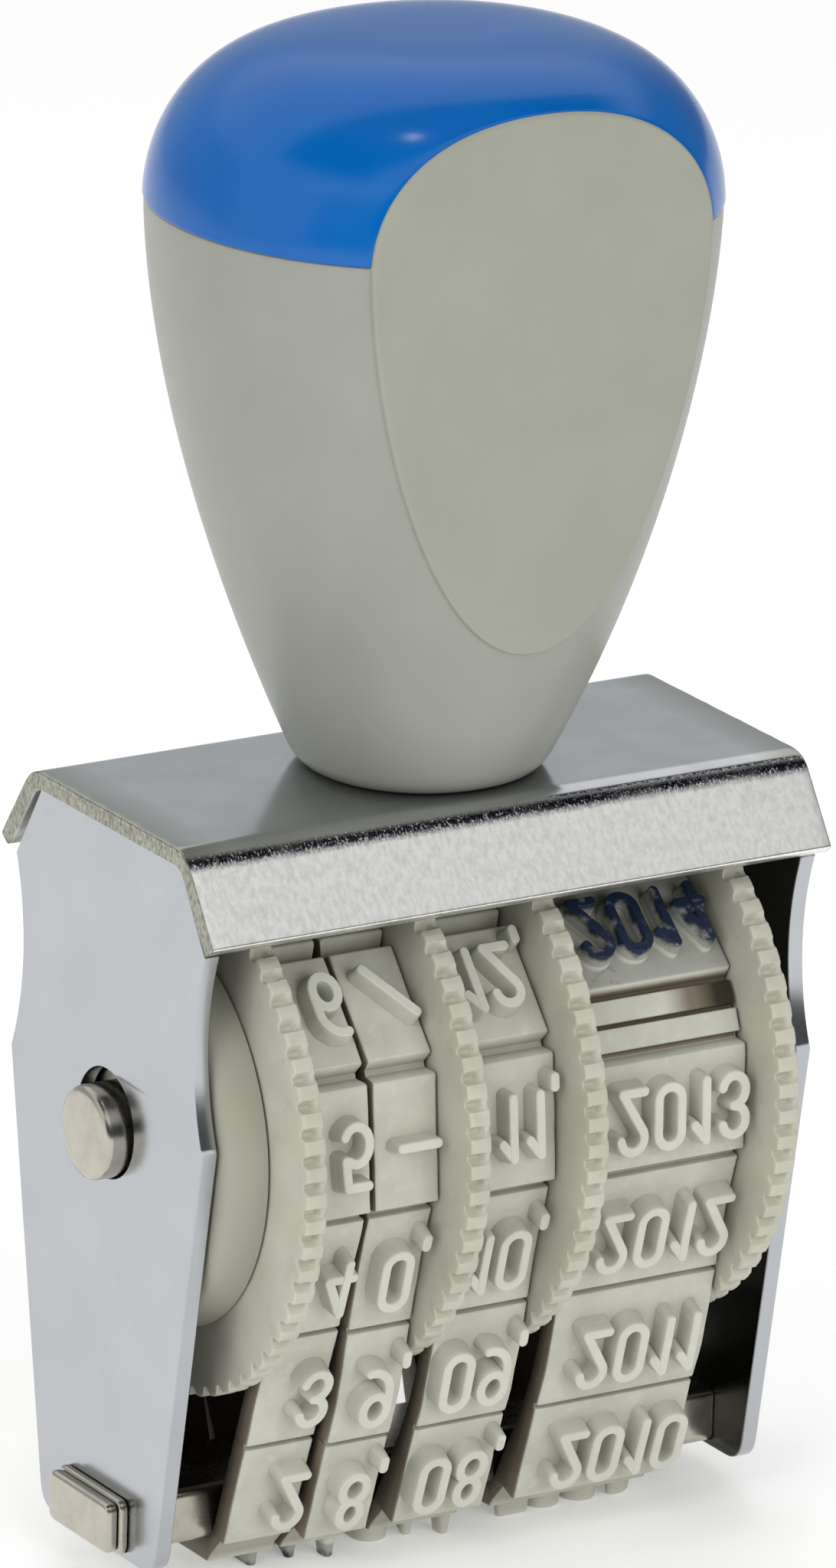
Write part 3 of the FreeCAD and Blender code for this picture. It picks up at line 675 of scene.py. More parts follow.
def topCover():
    # the sheet's section across X carried along the channel's line: point = line + outward * depth. At
    # both ends of X it is sheared: rolled over on the outside by a quarter circle, jagged there, and
    # torn, with a small ripple, on the end face. The flanges' own edges are half circles
    c = channel
    path, outward, along = channelCentreline()
    half, thick = (coverHigh[0] - coverLow[0]) / 2, c["thickness"]
    roll, arris = c["rollOver"], c["arris"]
    side = np.linspace(0, 0.5 * np.pi, 6)
    endFace = [(half - roll * (1 - math.sin(t)), -roll * (1 - math.cos(t)) * 0.9) for t in side]
    endFace += [(half, -thick * share) for share in (0.3, 0.42, 0.54, 0.66, 0.78)]
    endFace += [(half - arris * (1 - math.cos(t)), -thick + arris * (1 - math.sin(t))) for t in side[:-1]]
    endFace = np.array(endFace)
    across = np.linspace(half - 0.6, -(half - 0.6), 24)
    bottom = np.column_stack([across, np.full(len(across), -thick)])
    top = np.column_stack([across, np.zeros(len(across))])[::-1]
    profile = np.concatenate([endFace, bottom, (endFace * (-1, 1))[::-1], top])
    x, depth = profile[:, 0], profile[:, 1]
    torn = np.clip((np.abs(x) - (half - 0.05)) / 0.05, 0, 1) * (depth < -0.02)
    s = along[:, None]
    rough = ripple(s * 2.6, depth[None, :] * 3.5 + 0.3 * x[None, :], seed=4) \
        + 0.6 * ripple(s * 9.0, depth[None, :] * 9 + x[None, :], seed=5)
    jag = 0.5 + 0.5 * ripple(s * 4.5, np.sign(x)[None, :] * 3.0, seed=9)
    nearTop = np.clip((np.abs(x) - (half - 0.35)) / 0.35, 0, 1) * (depth > -0.35)
    xx = x[None, :] - np.sign(x)[None, :] * (torn[None, :] * c["tear"] * (0.5 + 0.5 * np.clip(rough, -1, 1)))
    dd = depth[None, :] - nearTop[None, :] * 0.05 * jag
    edge = np.minimum(along, along[-1] - along)[:, None]
    rounding = np.clip(1 - edge / arris, 0, 1)
    squeeze = 1 - (1 - np.sqrt(np.clip(1 - rounding ** 2, 0, 1))) * (2 * arris / thick)
    dd = -thick / 2 + (dd + thick / 2) * squeeze
    points = np.stack([np.broadcast_to(xx, dd.shape), path[:, :1] + outward[:, :1] * dd,
                       path[:, 1:] + outward[:, 1:] * dd], -1)
    first, last = points[0].copy(), points[-1].copy()
    first[:, 1:], last[:, 1:] = first[:, 1:].mean(0), last[:, 1:].mean(0)
    return gridShell(np.concatenate([first[None], points, last[None]]), False, True)


settle(frameSheet(), "root", zinc, "frame")
settle(buildPiece("topCover", [topCover()], 42), "root", cover, "top_cover")
print("frame and cover made")


pin = {"chamfer": 0.42, "dome": 0.05}


def axlePin():
    # a turned pin: a profile carried round the axle's line, with broken edges and very slightly domed
    # ends, which fall off as the square of the radius
    end, r, c = axleHigh[0], axleRadius, pin["chamfer"]
    t = np.linspace(0, 1, 8)
    cap = np.column_stack([end - pin["dome"] * t ** 2, t * (r - c)])
    rim = [(end - pin["dome"] - 0.10 * c, r - 0.72 * c), (end - 0.42 * c, r - 0.28 * c),
           (end - 0.80 * c, r - 0.06 * c), (end - 1.1 * c, r), (end - 1.5, r)]
    right = np.concatenate([cap, rim])
    profile = np.concatenate([right * (-1, 1), right[::-1]])
    return latheX(profile, 96)


spacer = {"boreGap": 0.1, "edgeIn": 0.6, "edgeRound": 0.9, "recessRadius": 5.2, "recessDepth": 1.1,
          "recessRound": 0.15, "collarRound": 0.2}


def spacerDisc():
    # a broad disc, its profile carried round the axle's line: a conical edge, well rounded on the
    # left, and a recess for the axle's ring
    s = spacer
    low, high = boxOf("left_spacer_disc")
    outer = (high[2] - low[2]) / 2
    bore, floor = axleRadius + s["boreGap"], low[0] + s["recessDepth"]
    corners = [(high[0], bore), (high[0], outer), (low[0], outer - s["edgeIn"]), (low[0], s["recessRadius"]),
               (floor, s["recessRadius"]), (floor, bore)]
    return latheX(roundedLoop(corners, [0.03, 0.03, s["edgeRound"], s["recessRound"], 0.05, 0.05], 8), 160)


def rightCollar():
    # a plain turned collar: a rounded rectangle carried round the axle's line
    low, high = boxOf("right_spacer")
    outer = (high[2] - low[2]) / 2
    bore = axleRadius + spacer["boreGap"]
    corners = [(low[0], bore), (low[0], outer), (high[0], outer), (high[0], bore)]
    return latheX(roundedLoop(corners, spacer["collarRound"], 4), 96)


barLow, barHigh = boxOf("bridge_bar")
bridge = {"fullHalf": 18.5, "corner": 0.6, "tenonLow": 0.5, "tenonHigh": 3.4, "tenonCorner": 0.3,
          "clipX": (19.52, 20.07), "play": 0.05, "neck": 0.5, "neckCorner": 0.2, "endRound": 0.3,
          "headCorner": 0.55, "headArris": 0.12, "clipCorner": 0.6, "clipArris": (0.16, 0.2)}


def bridgeBar():
    # rounded rectangles along X: full section inside the frame, a lower tenon through each plate, a
    # neck where the clip sits, and a head outside it, whose edges are quarter circles
    b = bridge
    deep, fullLow, fullHigh = barHigh[1], barLow[2], barHigh[2]
    low, high = footZ + b["tenonLow"], footZ + b["tenonHigh"]
    neck = (deep - b["neck"], low + b["neck"], high - b["neck"], b["neckCorner"])
    tenon = (deep - 0.01, low, high, b["tenonCorner"])
    clipIn, clipOut = b["clipX"][0] - b["play"], b["clipX"][1] + b["play"]
    end, r, arris = barHigh[0], b["endRound"], b["headArris"]
    half = [(b["fullHalf"] - 0.12, deep, fullLow, fullHigh, b["corner"]),
            (b["fullHalf"] - 0.02, deep - 0.1, fullLow + 0.1, fullHigh - 0.1, b["corner"]),
            (b["fullHalf"], *tenon), (clipIn, *tenon), (clipIn + 0.01, *neck), (clipOut, *neck)]
    head = [(clipOut + 0.01 + arris * (1 - math.cos(t)), arris * (1 - math.sin(t)))
            for t in np.linspace(0, 0.5 * np.pi, 4)]
    head += [(end - r * (1 - math.sin(t)), r * (1 - math.cos(t))) for t in np.linspace(0, 0.5 * np.pi, 6)]
    half += [(x, deep - fall, low + fall, high - fall, b["headCorner"]) for x, fall in head]
    return sectionsAlongX([(-x, *rest) for x, *rest in half[::-1]] + half, 5)


def bridgeClip(side):
    # a flat clip round the bar's neck: rounded rectangles along X, with quarter circles for its edges
    b = bridge
    low, high = boxOf("bridge_clip_left")
    clipIn, clipOut = b["clipX"]
    inRound, outRound = b["clipArris"]
    turn = np.linspace(0, 0.5 * np.pi, 4)
    places = [(clipIn + inRound * (1 - math.cos(t)), inRound * (1 - math.sin(t))) for t in turn]
    places += [(clipOut - outRound * (1 - math.sin(t)), outRound * (1 - math.cos(t))) for t in turn]
    rows = [(x, high[1] - fall, low[2] + fall, high[2] - fall, b["clipCorner"]) for x, fall in places]
    if side < 0:
        rows = [(-x, *rest) for x, *rest in rows[::-1]]
    return sectionsAlongX(rows, 5)


settle(buildPiece("axlePin", [axlePin()]), "axle", plated, "axle")
settle(buildPiece("leftSpacerDisc", [spacerDisc()]), "root", discPlastic, "left_spacer_disc")
settle(buildPiece("rightCollar", [rightCollar()]), "root", discPlastic, "right_spacer")
for node, shell in (("bridge_bar", bridgeBar()), ("bridge_clip_left", bridgeClip(-1)),
                    ("bridge_clip_right", bridgeClip(1))):
    settle(buildPiece(inCamelCase(node), [shell]), "root", plated, node)
# the rings and the screw are hardly seen, so their solids stay, with the plated finish
for name in ("axle_ring_left", "axle_ring_right", "handle_screw"):
    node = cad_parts[name]
    node.data.materials.clear()
    node.data.materials.append(plated)
print("axle and bridge bar made")


wheelShape = {"flange": 1.3, "teeth": 64, "toothHeight": 0.62, "toothShare": 0.64, "flank": 0.22,
              "arris": 0.16, "lip": 0.3, "crown": 0.08, "drumRadius": 10.5, "drumRound": 0.12,
              "bore": axleRadius + 0.05, "perTooth": 16}


def toothedFlange(leftX):
    # rings round the axle: a rounded section from the bore out over the rim and back. The rim's radius
    # falls by the tooth height between teeth, through smooth flanks: fall = smoothstep of the share of
    # a tooth pitch that lies outside the tooth. A low lip closes the notches on the right, and each
    # tooth's top is crowned as the square root of the way from its edge to its middle
    w = wheelShape
    low, high = boxOf("year_wheel")
    tip = (high[2] - low[2]) / 2
    count = w["teeth"] * w["perTooth"]
    angle = np.linspace(0, 2 * np.pi, count, endpoint=False)
    share = np.abs((angle * w["teeth"] / (2 * np.pi) + 0.5) % 1 - 0.5)
    step = np.clip((share - (w["toothShare"] / 2 - w["flank"] / 2)) / w["flank"], 0, 1)
    fall = w["toothHeight"] * step ** 2 * (3 - 2 * step)
    crown = w["crown"] * np.clip(1 - share / (w["toothShare"] / 2), 0, 1) ** 0.5 - w["crown"]
    a = w["arris"]
    turn = np.linspace(0, 0.5 * np.pi, 5)
    across = np.concatenate([a * (1 - np.cos(turn)), np.linspace(a, w["flange"] - a, 6)[1:-1],
                             w["flange"] - a * (1 - np.sin(turn))])
    rimDrop = np.concatenate([a * (1 - np.sin(turn)), np.zeros(4), a * (1 - np.cos(turn))])
    cut = np.interp(across, (0, 0.22, 0.72, 0.95), (0.75, 1, 1, w["lip"]))
    outer = tip - fall[:, None] * cut + (crown * (fall <= 0.01))[:, None]
    faceShares = np.array([0.0, 0.35, 0.7, 0.9, 0.97])
    bore = w["bore"]
    left = bore + (outer[:, :1] - a - bore) * faceShares
    right = (bore + (outer[:, -1:] - a - bore) * faceShares)[:, ::-1]
    radius = np.concatenate([left, outer - rimDrop, right], 1)
    x = leftX + np.concatenate([np.zeros(5), across, np.full(5, w["flange"])])
    points = np.stack([np.broadcast_to(x, radius.shape), radius * np.cos(angle)[:, None],
                       axleZ + radius * np.sin(angle)[:, None]], -1)
    return gridShell(points, True, True)


def drum(low, high):
    # the plain hub that carries the band: a rounded rectangle carried round the axle's line
    w = wheelShape
    corners = [(low, w["bore"]), (low, w["drumRadius"]), (high, w["drumRadius"]), (high, w["bore"])]
    return latheX(roundedLoop(corners, w["drumRound"], 3))


for node in ("day_tens_wheel", "day_units_wheel", "month_wheel", "year_wheel"):
    low, high = boxOf(node)
    flangeX, drumX = high[0] - wheelShape["flange"], (low[0], high[0] - 0.3)
    if node == "day_tens_wheel":         # the only one whose flange is on the left
        flangeX, drumX = low[0], (low[0] + 0.3, high[0])
    shells = [toothedFlange(flangeX), drum(*drumX)]
    settle(buildPiece(inCamelCase(node), shells), node, wheelWhite, node)
print("thumbwheels made")


rubberBand = {"web": 0.8, "pad": 0.6, "relief": 1.2, "typeHeight": 3.9, "groove": 0.3, "grooveFloor": 0.2,
              "drumGap": 0.15, "barGap": 0.05, "strokeTop": 0.25, "strokeBase": 0.42, "edge": 0.12,
              "sideRound": 0.16, "margin": 0.4, "space": 0.42, "dotIn": 0.1, "squeeze": 0.25,
              "yearMargin": 1.5, "stiffReach": 3.5, "standOff": 0.9, "bulgeLow": 0.75, "uneven": 0.02,
              "wobble": 0.06, "webIn": 0.12, "sink": 0.02}
# what lies on the rubber, as the material reads it, with painted shade below zero apart from the smudge; a
# tip is the top of a raised figure
inkOn = {"wetTip": 0.85, "dampTip": 0.75, "dryTip": 0.06, "washedPad": 0.32, "groove": -0.5,
         "besideBar": -1.1, "smudge": -2.4, "side": -0.8, "sideEdge": -0.25, "inside": -2.0}

cornerY = -(barHigh[1] - bridge["corner"])
cornerZ = barLow[2] + bridge["corner"]
cornerRadius = bridge["corner"] + rubberBand["barGap"]
loopRadius = wheelShape["drumRadius"] + rubberBand["drumGap"]
centreGap = math.hypot(cornerY, axleZ - cornerZ)
straightRun = math.sqrt(centreGap ** 2 - (loopRadius - cornerRadius) ** 2)
lean = math.acos((loopRadius - cornerRadius) / centreGap)
frontNormal = math.atan2(axleZ - cornerZ, -cornerY) + math.pi - lean      # the angle the straight run faces
middleLayer = rubberBand["web"] / 2
cornerArc = (cornerRadius + middleLayer) * (1.5 * math.pi - frontNormal)
drumArc = (loopRadius + middleLayer) * (2 * frontNormal - math.pi)
halfLength = -cornerY + cornerArc + straightRun + drumArc / 2
loopLength = 2 * halfLength


def onBand(distance, offset, bulge=0.0):
    # (y, z) of points on a band: distance along its middle layer from the bottom centre, up the front
    # and down the rear, and offset outwards from its inner surface. The path is a straight under the
    # bar, an arc round its corner, a straight run, an arc over the drum, and the mirror image of these.
    # The slack run stands out by bulge times sin squared of pi times its own share to the power bulgeLow
    d = np.mod(distance, loopLength)
    rear = d > halfLength
    d = np.where(rear, loopLength - d, d)
    runStart = -cornerY + cornerArc
    drumStart = runStart + straightRun
    angle = 1.5 * np.pi - np.clip(d + cornerY, 0, cornerArc) / (cornerRadius + middleLayer)
    angle = angle - np.clip(d - drumStart, 0, None) / (loopRadius + middleLayer)
    onDrum = d > drumStart
    radius = np.where(onDrum, loopRadius, cornerRadius)
    y = np.where(onDrum, 0.0, cornerY) + radius * np.cos(angle)
    z = np.where(onDrum, axleZ, cornerZ) + radius * np.sin(angle)
    y = np.where(d < -cornerY, -d, y)
    along = np.clip(d - runStart, 0, straightRun) * ~onDrum
    y = y + math.sin(frontNormal) * along
    z = z - math.cos(frontNormal) * along
    share = (along / straightRun) ** rubberBand["bulgeLow"]
    offset = offset + bulge * np.sin(np.pi * share) ** 2
    y, z = y + np.cos(angle) * offset, z + np.sin(angle) * offset
    return np.where(rear, -y, y), z


def onPad(distance, offset, padMiddle, bulge):
    # the same place on a stiff pad. One that lies on the drum, under the bar or next to its corner stays
    # flat: from the band's path at the pad's middle, distance runs along the tangent and offset along
    # the normal. The one next to the corner stands off by the bulge, in line with the straight run
    runStart = cornerArc - cornerY
    fromBottom = np.minimum(padMiddle, loopLength - padMiddle)
    atCorner = (fromBottom > -cornerY) & (fromBottom < runStart + rubberBand["stiffReach"])
    slack = np.where(atCorner, 0, bulge)
    y, z = onBand(padMiddle, 0 * padMiddle, slack)
    yNext, zNext = onBand(padMiddle + 0.5, 0 * padMiddle, slack)
    yBack, zBack = onBand(padMiddle - 0.5, 0 * padMiddle, slack)
    length = np.hypot(yNext - yBack, zNext - zBack)
    alongY, alongZ = (yNext - yBack) / length, (zNext - zBack) / length
    reach, stand = distance - padMiddle, offset + rubberBand["standOff"] * bulge * atCorner
    flatY, flatZ = y + alongY * reach - alongZ * stand, z + alongZ * reach + alongY * stand
    bentY, bentZ = onBand(distance, offset, bulge)
    onRun = ~atCorner & (fromBottom > runStart) & (fromBottom < runStart + straightRun)
    return np.where(onRun, bentY, flatY), np.where(onRun, bentZ, flatZ)


def padTable(layout):
    # pads as (middle, length) along the band, from the layout's runs of (count, pitch, groove, kind),
    # apart from the plain bars at a joint
    pads, bars = [], []
    edge = -layout[0][1] / 2
    for count, pitch, groove, kind in layout:
        for _ in range(count):
            (pads if kind == "pad" else bars).append((edge + pitch / 2, pitch - groove))
            edge += pitch
    return pads, bars


def bandSurface(left, right, pads, bars, washed, bulge, seed):
    # the band's closed section carried round its path: outer = web + (pad - web) * rise, where rise goes
    # from 0 in a groove to 1 on a pad, and it falls off in a small round at both sides. The ink value is
    # negative for painted shade, in the grooves, beside the bars, on the side walls and on the inner surface,
    # and for a dark smudge on the right of the last bar, and positive on the pad that is washed with ink
    b = rubberBand
    edgeSteps = np.array([0.0, 0.012, 0.045, b["edge"]])
    edgeRise = np.array([0.0, 0.84, 0.95, 1.0])
    rows, rise, middles = [], [], []
    for middle, length in sorted(pads + bars):
        start, end = middle - length / 2, middle + length / 2
        inside = np.linspace(start + b["edge"], end - b["edge"], 11)[1:-1]
        rows.append(np.concatenate([start + edgeSteps, inside, (end - edgeSteps)[::-1]]))
        rise.append(np.concatenate([edgeRise, np.ones(len(inside)), edgeRise[::-1]]))
        middles.append(np.full(len(rows[-1]), middle))
    rows, rise, middles = (np.concatenate(v)[:, None] for v in (rows, rise, middles))
    width = right - left
    fromSide = np.array([0.0, 0.03, 0.09, 0.17])
    drop = b["sideRound"] * np.array([1.0, 0.4375, 0.125, 0.0])
    flat = np.linspace(0.35, width - 0.35, 12)
    across = np.concatenate([fromSide, flat, (width - fromSide)[::-1]])[None, :]
    sideDrop = np.concatenate([drop, np.zeros(12), drop[::-1]])[None, :]
    uneven = b["uneven"] * ripple(rows * 1.3, across * 0.9, seed=seed)
    webY, webZ = onBand(rows + 0 * across, b["web"] + b["grooveFloor"] - 0.4 * sideDrop + uneven, bulge)
    padY, padZ = onPad(rows + 0 * across, b["web"] + b["pad"] - sideDrop + uneven, middles, bulge)
    wobble = b["wobble"] * ripple(rows * 1.1, across * 0.1, seed=seed + 1)
    nearSide = np.abs(across - width / 2) > width / 2 - 0.3
    webIn = b["webIn"] * (1 - rise) * np.sign(width / 2 - across) * nearSide
    x = np.clip(left + across + wobble + webIn, left, right)
    outer = np.stack([x, webY + (padY - webY) * rise, webZ + (padZ - webZ) * rise], -1)
    innerX = np.array([right - 0.12, (left + right) / 2, left + 0.12])[None, :]
    innerY, innerZ = onBand(rows + 0 * innerX, 0.0, bulge)
    inner = np.stack([innerX + 0 * innerY, innerY, innerZ], -1)
    points = np.concatenate([outer, inner], 1)
    fromBar = np.exp(-((np.minimum(rows, loopLength - rows) - 2.0) / 5.0) ** 2)[:, 0]
    stain = np.zeros(points.shape[:2])
    # painted shade in the grooves, and the wash of ink on the washed pad
    stain += inkOn["groove"] * (1 - rise) + inkOn["washedPad"] * (np.abs(middles - washed) < 0.1) * rise
    if bars:
        lastBar = max(bars)[0]
        # deeper painted shade in the grooves beside the bars
        stain += (rise < 0.5) * (np.abs(rows - lastBar + 0.5) < 1.8) * inkOn["besideBar"]
        smudge = np.clip((across - 0.55 * width) / (0.4 * width), 0, 1)
        stain[:, :20] += (np.abs(middles - lastBar) < 0.1) * rise * inkOn["smudge"] * smudge
    # painted shade on the side walls, deeper at the bottom under the bar
    stain[:, [0, 19]] = (inkOn["side"] - 0.15 * fromBar)[:, None]
    stain[:, [1, 18]] = (inkOn["sideEdge"] - 0.5 * fromBar)[:, None]
    # painted shade on the inner surface
    stain[:, -3:] = inkOn["inside"]
    return gridShell(points, True, True), stain.ravel()


def arcStroke(cx, cy, rx, ry, start, end, count=18):
    # points on an ellipse between two angles in degrees
    t = np.radians(np.linspace(start, end, count))
    return np.column_stack([cx + rx * np.cos(t), cy + ry * np.sin(t)])


def lineStroke(*corners):
    return np.array(corners, float)


def digitStrokes(sign):
    # a figure's strokes inside a box one unit high, and the box's width; loops are closed strokes
    w = 0.44
    c = w / 2
    oval = np.concatenate([arcStroke(c, 1 - c, c, c, 0, 180), arcStroke(c, c, c, c, 180, 360)])
    table = {
        "0": ([(oval, True)], w),
        "1": ([(lineStroke((0.2, 0), (0.2, 1)), False), (lineStroke((0.2, 1), (0, 0.74)), False)], 0.24),
        "2": ([(np.concatenate([arcStroke(c, 0.77, c, 0.23, 175, -35), [(0.02, 0)]]), False),
               (lineStroke((0.02, 0), (w, 0)), False)], w),
        "3": ([(arcStroke(c, 0.755, c, 0.245, 165, -90), False),
               (arcStroke(c, 0.255, c, 0.255, 90, -165), False)], w),
        "4": ([(lineStroke((0.33, 0), (0.33, 1)), False), (lineStroke((0.33, 1), (0, 0.3)), False),
               (lineStroke((0, 0.3), (0.46, 0.3)), False)], 0.46),
        "5": ([(lineStroke((0.4, 1), (0.03, 1)), False), (lineStroke((0.03, 1), (0, 0.55)), False),
               (arcStroke(c - 0.02, 0.31, c + 0.02, 0.31, 125, -150), False)], w),
        "6": ([(np.concatenate([arcStroke(c, 0.27, c, 0.27, 0, 340)]), True),
               (np.concatenate([[(0.0, 0.27)], arcStroke(0.34, 0.62, 0.34, 0.38, 180, 80)]), False)], w),
        "7": ([(lineStroke((0, 1), (w, 1)), False), (lineStroke((w, 1), (0.1, 0)), False)], w),
        "8": ([(arcStroke(c, 0.755, c * 0.86, 0.245, 0, 345, 22), True),
               (arcStroke(c, 0.26, c, 0.26, 0, 345, 24), True)], w),
        ".": ([(lineStroke((0.0, -0.24), (0.0, -0.08)), False)], 0.0),
        "-": ([(lineStroke((0, 0.5), (0.66, 0.5)), False)], 0.66),
        "/": ([(lineStroke((0, 0), (0.7, 0.86)), False)], 0.7),
    }
    if sign == "9":
        strokes, width = digitStrokes("6")
        return [(np.array([width, 1]) - points, loop) for points, loop in strokes], width
    return table[sign]


def strokeSolid(points, loop, padMiddle, bulge, sink=0.0):
    # a raised stroke: a trapezium with a rounded top carried along its points, which are (x, distance)
    # on the band. Open ends get a round cap: the section's halves swing inwards as cos and move out as sin.
    # A stroke that crosses another is sunk by a hair, so that their tops don't lie in one plane
    b = rubberBand
    base, top = b["strokeBase"], b["strokeTop"]
    half = np.array([(base, -0.12), (base, 0.0), (top + 0.03, 0.95), (top - 0.02, 1.0), (0.4 * top, 1.0)])
    section = np.concatenate([half * (-1, 1), half[::-1]])
    q, h = section[:, 0], section[:, 1] * (b["relief"] - sink)
    if loop:
        ahead = np.roll(points, -1, 0) - np.roll(points, 1, 0)
    else:
        fine = np.linspace(0, 1, max(2, 2 * len(points) - 1))
        known = np.linspace(0, 1, len(points))
        points = np.column_stack([np.interp(fine, known, points[:, k]) for k in (0, 1)])
        ahead = np.gradient(points, axis=0)
    tangent = ahead / np.linalg.norm(ahead, axis=1, keepdims=True)
    normal = np.column_stack([-tangent[:, 1], tangent[:, 0]])
    rings = points[:, None] + normal[:, None] * q[None, :, None]
    if not loop:
        swing = np.linspace(0.5 * np.pi, 0, 6)[:-1, None, None]
        q, moveOut = q[:, None], np.abs(q)[:, None]
        start = points[0] - tangent[0] * moveOut * np.sin(swing) + normal[0] * q * np.cos(swing)
        end = points[-1] + tangent[-1] * moveOut * np.sin(swing) + normal[-1] * q * np.cos(swing)
        rings = np.concatenate([start, rings, end[::-1]])
    y, z = onPad(rings[..., 1], b["web"] + b["pad"] + h[None, :], padMiddle, bulge)
    shell = gridShell(np.stack([rings[..., 0], y, z], -1), loop, True)
    tops = np.broadcast_to(np.clip(h / b["relief"], 0, 1), y.shape)
    return shell, tops


def typeOnPad(text, left, right, padMiddle, bulge):
    # the figures of one pad, set against its right margin, or a year's against its left one. They stand
    # with their heads towards the bridge bar, so a figure's height runs down the front of the band
    b = rubberBand
    scale = b["typeHeight"] - 2 * b["strokeTop"]
    glyphs = [digitStrokes(sign) for sign in text]
    gaps = [b["space"] + 2 * b["strokeTop"] - (b["dotIn"] if sign == "." else 0) for sign in text[1:]] + [0]
    total = sum(w for _, w in glyphs) * scale + sum(gaps)
    tooWide = max(0, total + 2 * (b["margin"] + b["strokeTop"]) - (right - left))
    if text.endswith("."):
        gaps[-2] -= b["squeeze"] * tooWide
        total -= b["squeeze"] * tooWide
    cursor = right - b["margin"] - b["strokeTop"] - total
    if len(text) == 4:
        cursor = left + b["yearMargin"]
    solids = []
    for (strokes, wide), gap in zip(glyphs, gaps):
        for order, (points, loop) in enumerate(strokes):
            x = cursor + points[:, 0] * scale
            distance = padMiddle - (points[:, 1] - 0.5) * scale
            line = np.column_stack([x, distance])
            solids.append(strokeSolid(line, loop, padMiddle, bulge, b["sink"] * order))
        cursor += wide * scale + gap
    return solids


# the pad under the bar is short, because the band turns sharply beside it; the front pads stand further
# apart than the rear ones, because the band is pulled tight there and slack behind
groove = rubberBand["groove"]
evenPads = [(1, 8.1, 2.1, "pad"), (1, 6.85, groove, "pad"), (3, 7.53, groove, "pad"),
            (8, (loopLength - 37.54) / 8, groove, "pad")]
yearPads = [(1, 8.1, 2.1, "pad"), (1, 6.7, groove, "pad"), (2, 7.5, groove, "pad"), (1, 6.5, 0.4, "pad"),
            (2, 1.45, 0.16, "bar"), (8, (loopLength - 39.2) / 8, groove, "pad")]
bandTypes = {
    "day_tens_band": (evenPads, 0.0, ["1", "2", "3", "4", "5", "6", "7", "8", "9", "0", "1", "2", "3"]),
    "day_units_band": (evenPads, 1.0, ["7.", "8.", "9.", "0.", "-", "/", "", "1.", "2.", "3.", "4.", "5.",
                                       "6."]),
    "month_band": (evenPads, 1.0, ["07.", "08.", "09.", "10.", "11.", "12.", "", "01.", "02.", "03.", "04.",
                                   "05.", "06."]),
    "year_band": (yearPads, 1.0, [str(2009 + i) for i in range(13)]),
}
for order, (node, (layout, bulge, texts)) in enumerate(bandTypes.items()):
    low, high = boxOf(node)
    pads, bars = padTable(layout)
    washed = pads[texts.index("2014")][0] if "2014" in texts else -9
    shell, stain = bandSurface(low[0], high[0], pads, bars, washed, bulge, 20 + 2 * order)
    shells, inks = [shell], [stain]
    for i, ((middle, _), text) in enumerate(zip(pads, texts)):
        wet = inkOn["wetTip" if text == "2014" else "dampTip" if i == 0 and order < 2 else "dryTip"]
        for solid, tops in typeOnPad(text, low[0], high[0], np.float64(middle), bulge):
            shells.append(solid)
            inks.append((tops * wet).ravel())
    piece = buildPiece(inCamelCase(node), shells, 28, inks)
    settle(piece, "root", rubber, node)
    print(piece.name, len(piece.data.polygons), "faces")


# each wall of the room covers the directions between its limits: (axis, where it starts, where it is full)
studio = {"floor": "#fafaf9", "floorShade": "#f6f6f5", "floorSize": 4.0, "floorGlow": 0.22, "fibre": 0.6,
          "room": "#fbfbfb", "rear": "#bcc0c2", "side": "#6f7172", "front": "#4a4b4d", "ceiling": "#2c2b33",
          "backdrop": "#f6f6f5", "strength": 0.95,
          "walls": {"rear": [("Y", 0.30, 0.55), ("Z", 0.5, 0.38)],
                    "side": [("X", 0.6, 0.85), ("Z", 0.62, 0.42)],
                    "front": [("Y", -0.1, -0.35), ("Z", 0.56, 0.40)],
                    "ceiling": [("Y", -0.43, -0.38), ("Y", 0.3, 0.25), ("Z", 0.6, 0.7)]}}


def floorPiece():
    # a flat square sheet of matt white paper under the stamp
    s = studio
    material, add, place = newMaterial("mattPaper")
    fibre = add("TexNoise", {"Vector": place, "Scale": 1 / (s["fibre"] * mm), "Detail": 3})
    shade = add("Mix", {0: add("MapRange", [fibre, 0.3, 0.7]), 6: s["floor"], 7: s["floorShade"]}, **asColour)
    shader = add("BsdfPrincipled", {"Roughness": 0.9, "Specular IOR Level": 0.1, "Base Color": shade,
                                    "Emission Color": (1, 1, 1, 1), "Emission Strength": s["floorGlow"]})
    add("OutputMaterial", {"Surface": shader})
    half = s["floorSize"] / 2
    mesh = bpy.data.meshes.new("floor")
    z = cadLow.z - 0.00002
    corners = [(-half, -half, z), (half, -half, z), (half, half, z), (-half, half, z)]
    mesh.from_pydata(corners, [], [(0, 1, 2, 3)])
    mesh.materials.append(material)
    piece = bpy.data.objects.new("floor", mesh)
    bpy.context.scene.collection.objects.link(piece)


def softLight(name, place, size, power, mirrored=False, target=(0, 0, 0.04)):
    # a softbox at place, turned to target, in metres and watts; only a mirrored one shows as a highlight
    lamp = bpy.data.lights.new(name, "AREA")
    lamp.shape = "RECTANGLE"
    lamp.size, lamp.size_y = size
    lamp.energy = power
    holder = bpy.data.objects.new(name, lamp)
    holder.location = place
    holder.rotation_euler = (Vector(target) - Vector(place)).to_track_quat("-Z", "Y").to_euler()
    holder.visible_glossy = mirrored
    bpy.context.scene.collection.objects.link(holder)


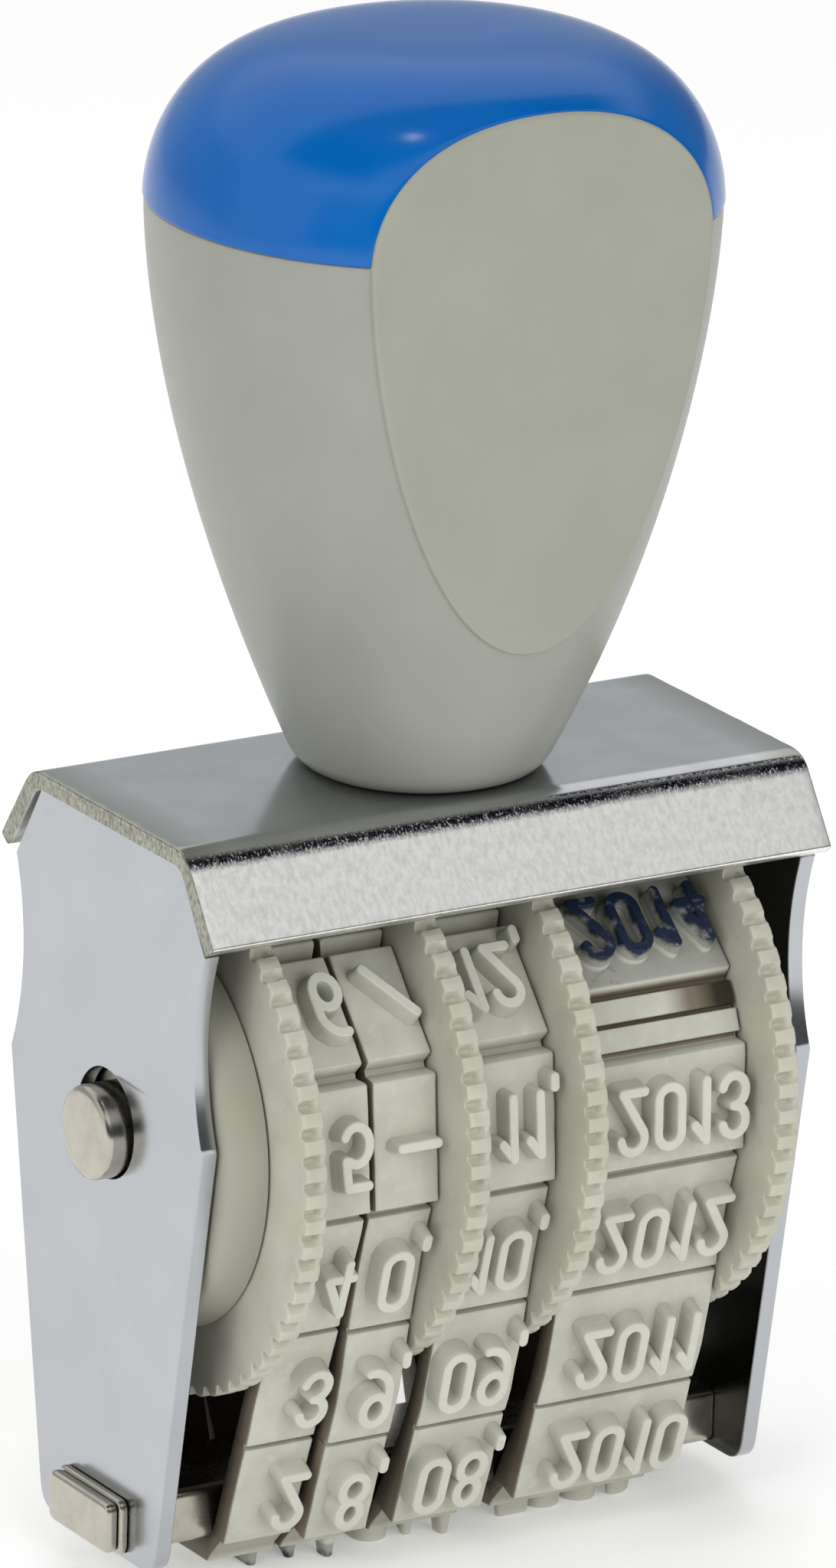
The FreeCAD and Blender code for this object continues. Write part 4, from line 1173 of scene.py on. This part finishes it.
def studioWorld():
    # a pale room whose brightness depends only on direction: a grey rear wall, which level metal
    # mirrors, a dim front and right wall, which keep the gloss off the cap, and a dark strip across the
    # ceiling, which shows as a dark line along a metal bend. A wall's share of a direction is the
    # product of its limits. Seen directly, the room is plain and pale
    s = studio
    world = bpy.data.worlds.new("studio")
    world.use_nodes = True
    world.node_tree.nodes.clear()
    add = partial(addNode, world.node_tree)
    parts = add("SeparateXYZ", [add("TexCoord", output="Generated")]).node.outputs
    colour = s["room"]
    for name, limits in s["walls"].items():
        share = 1.0
        for axis, start, full in limits:
            share = add("Math", [share, add("MapRange", [parts[axis], start, full])], **times)
        colour = add("Mix", {0: share, 6: colour, 7: s[name]}, **asColour)
    seen = add("LightPath", output="Is Camera Ray")
    colour = add("Mix", {0: seen, 6: colour, 7: s["backdrop"]}, **asColour)
    back = add("Background", {"Color": colour, "Strength": s["strength"]})
    add("OutputWorld", {"Surface": back})
    bpy.context.scene.world = world


def longLensCamera():
    # a long lens to the left of the stamp's front, a little above it and turned slightly on its axis
    lens = bpy.data.cameras.new("camera")
    lens.lens = 307.67
    lens.sensor_width = 36.0
    lens.clip_start, lens.clip_end = 0.05, 20
    holder = bpy.data.objects.new("camera", lens)
    right = Vector((0.855594, -0.517033, 0.025212))
    up = Vector((0.139699, 0.277525, 0.950507))
    ahead = Vector((0.49844, 0.80973, -0.30968))
    turn = Matrix((right, up, -ahead)).transposed().to_4x4()
    holder.matrix_world = Matrix.Translation(Vector((-366.524, -595.381, 268.732 + footZ)) * mm) @ turn
    bpy.context.scene.collection.objects.link(holder)
    bpy.context.scene.camera = holder


floorPiece()
studioWorld()
softLight("keyLeft", (-0.65, -0.3, 0.38), (0.5, 0.5), 2.3)
softLight("fillFront", (0.1, -0.78, 0.28), (0.6, 0.4), 2.8)
softLight("overhead", (0.0, 0.1, 0.8), (0.6, 0.6), 1.6)
softLight("glint", (-0.085, -0.1, 0.75), (0.012, 0.05), 0.1, True)
longLensCamera()
bpy.context.scene.view_settings.view_transform = "Standard"
print("studio made")
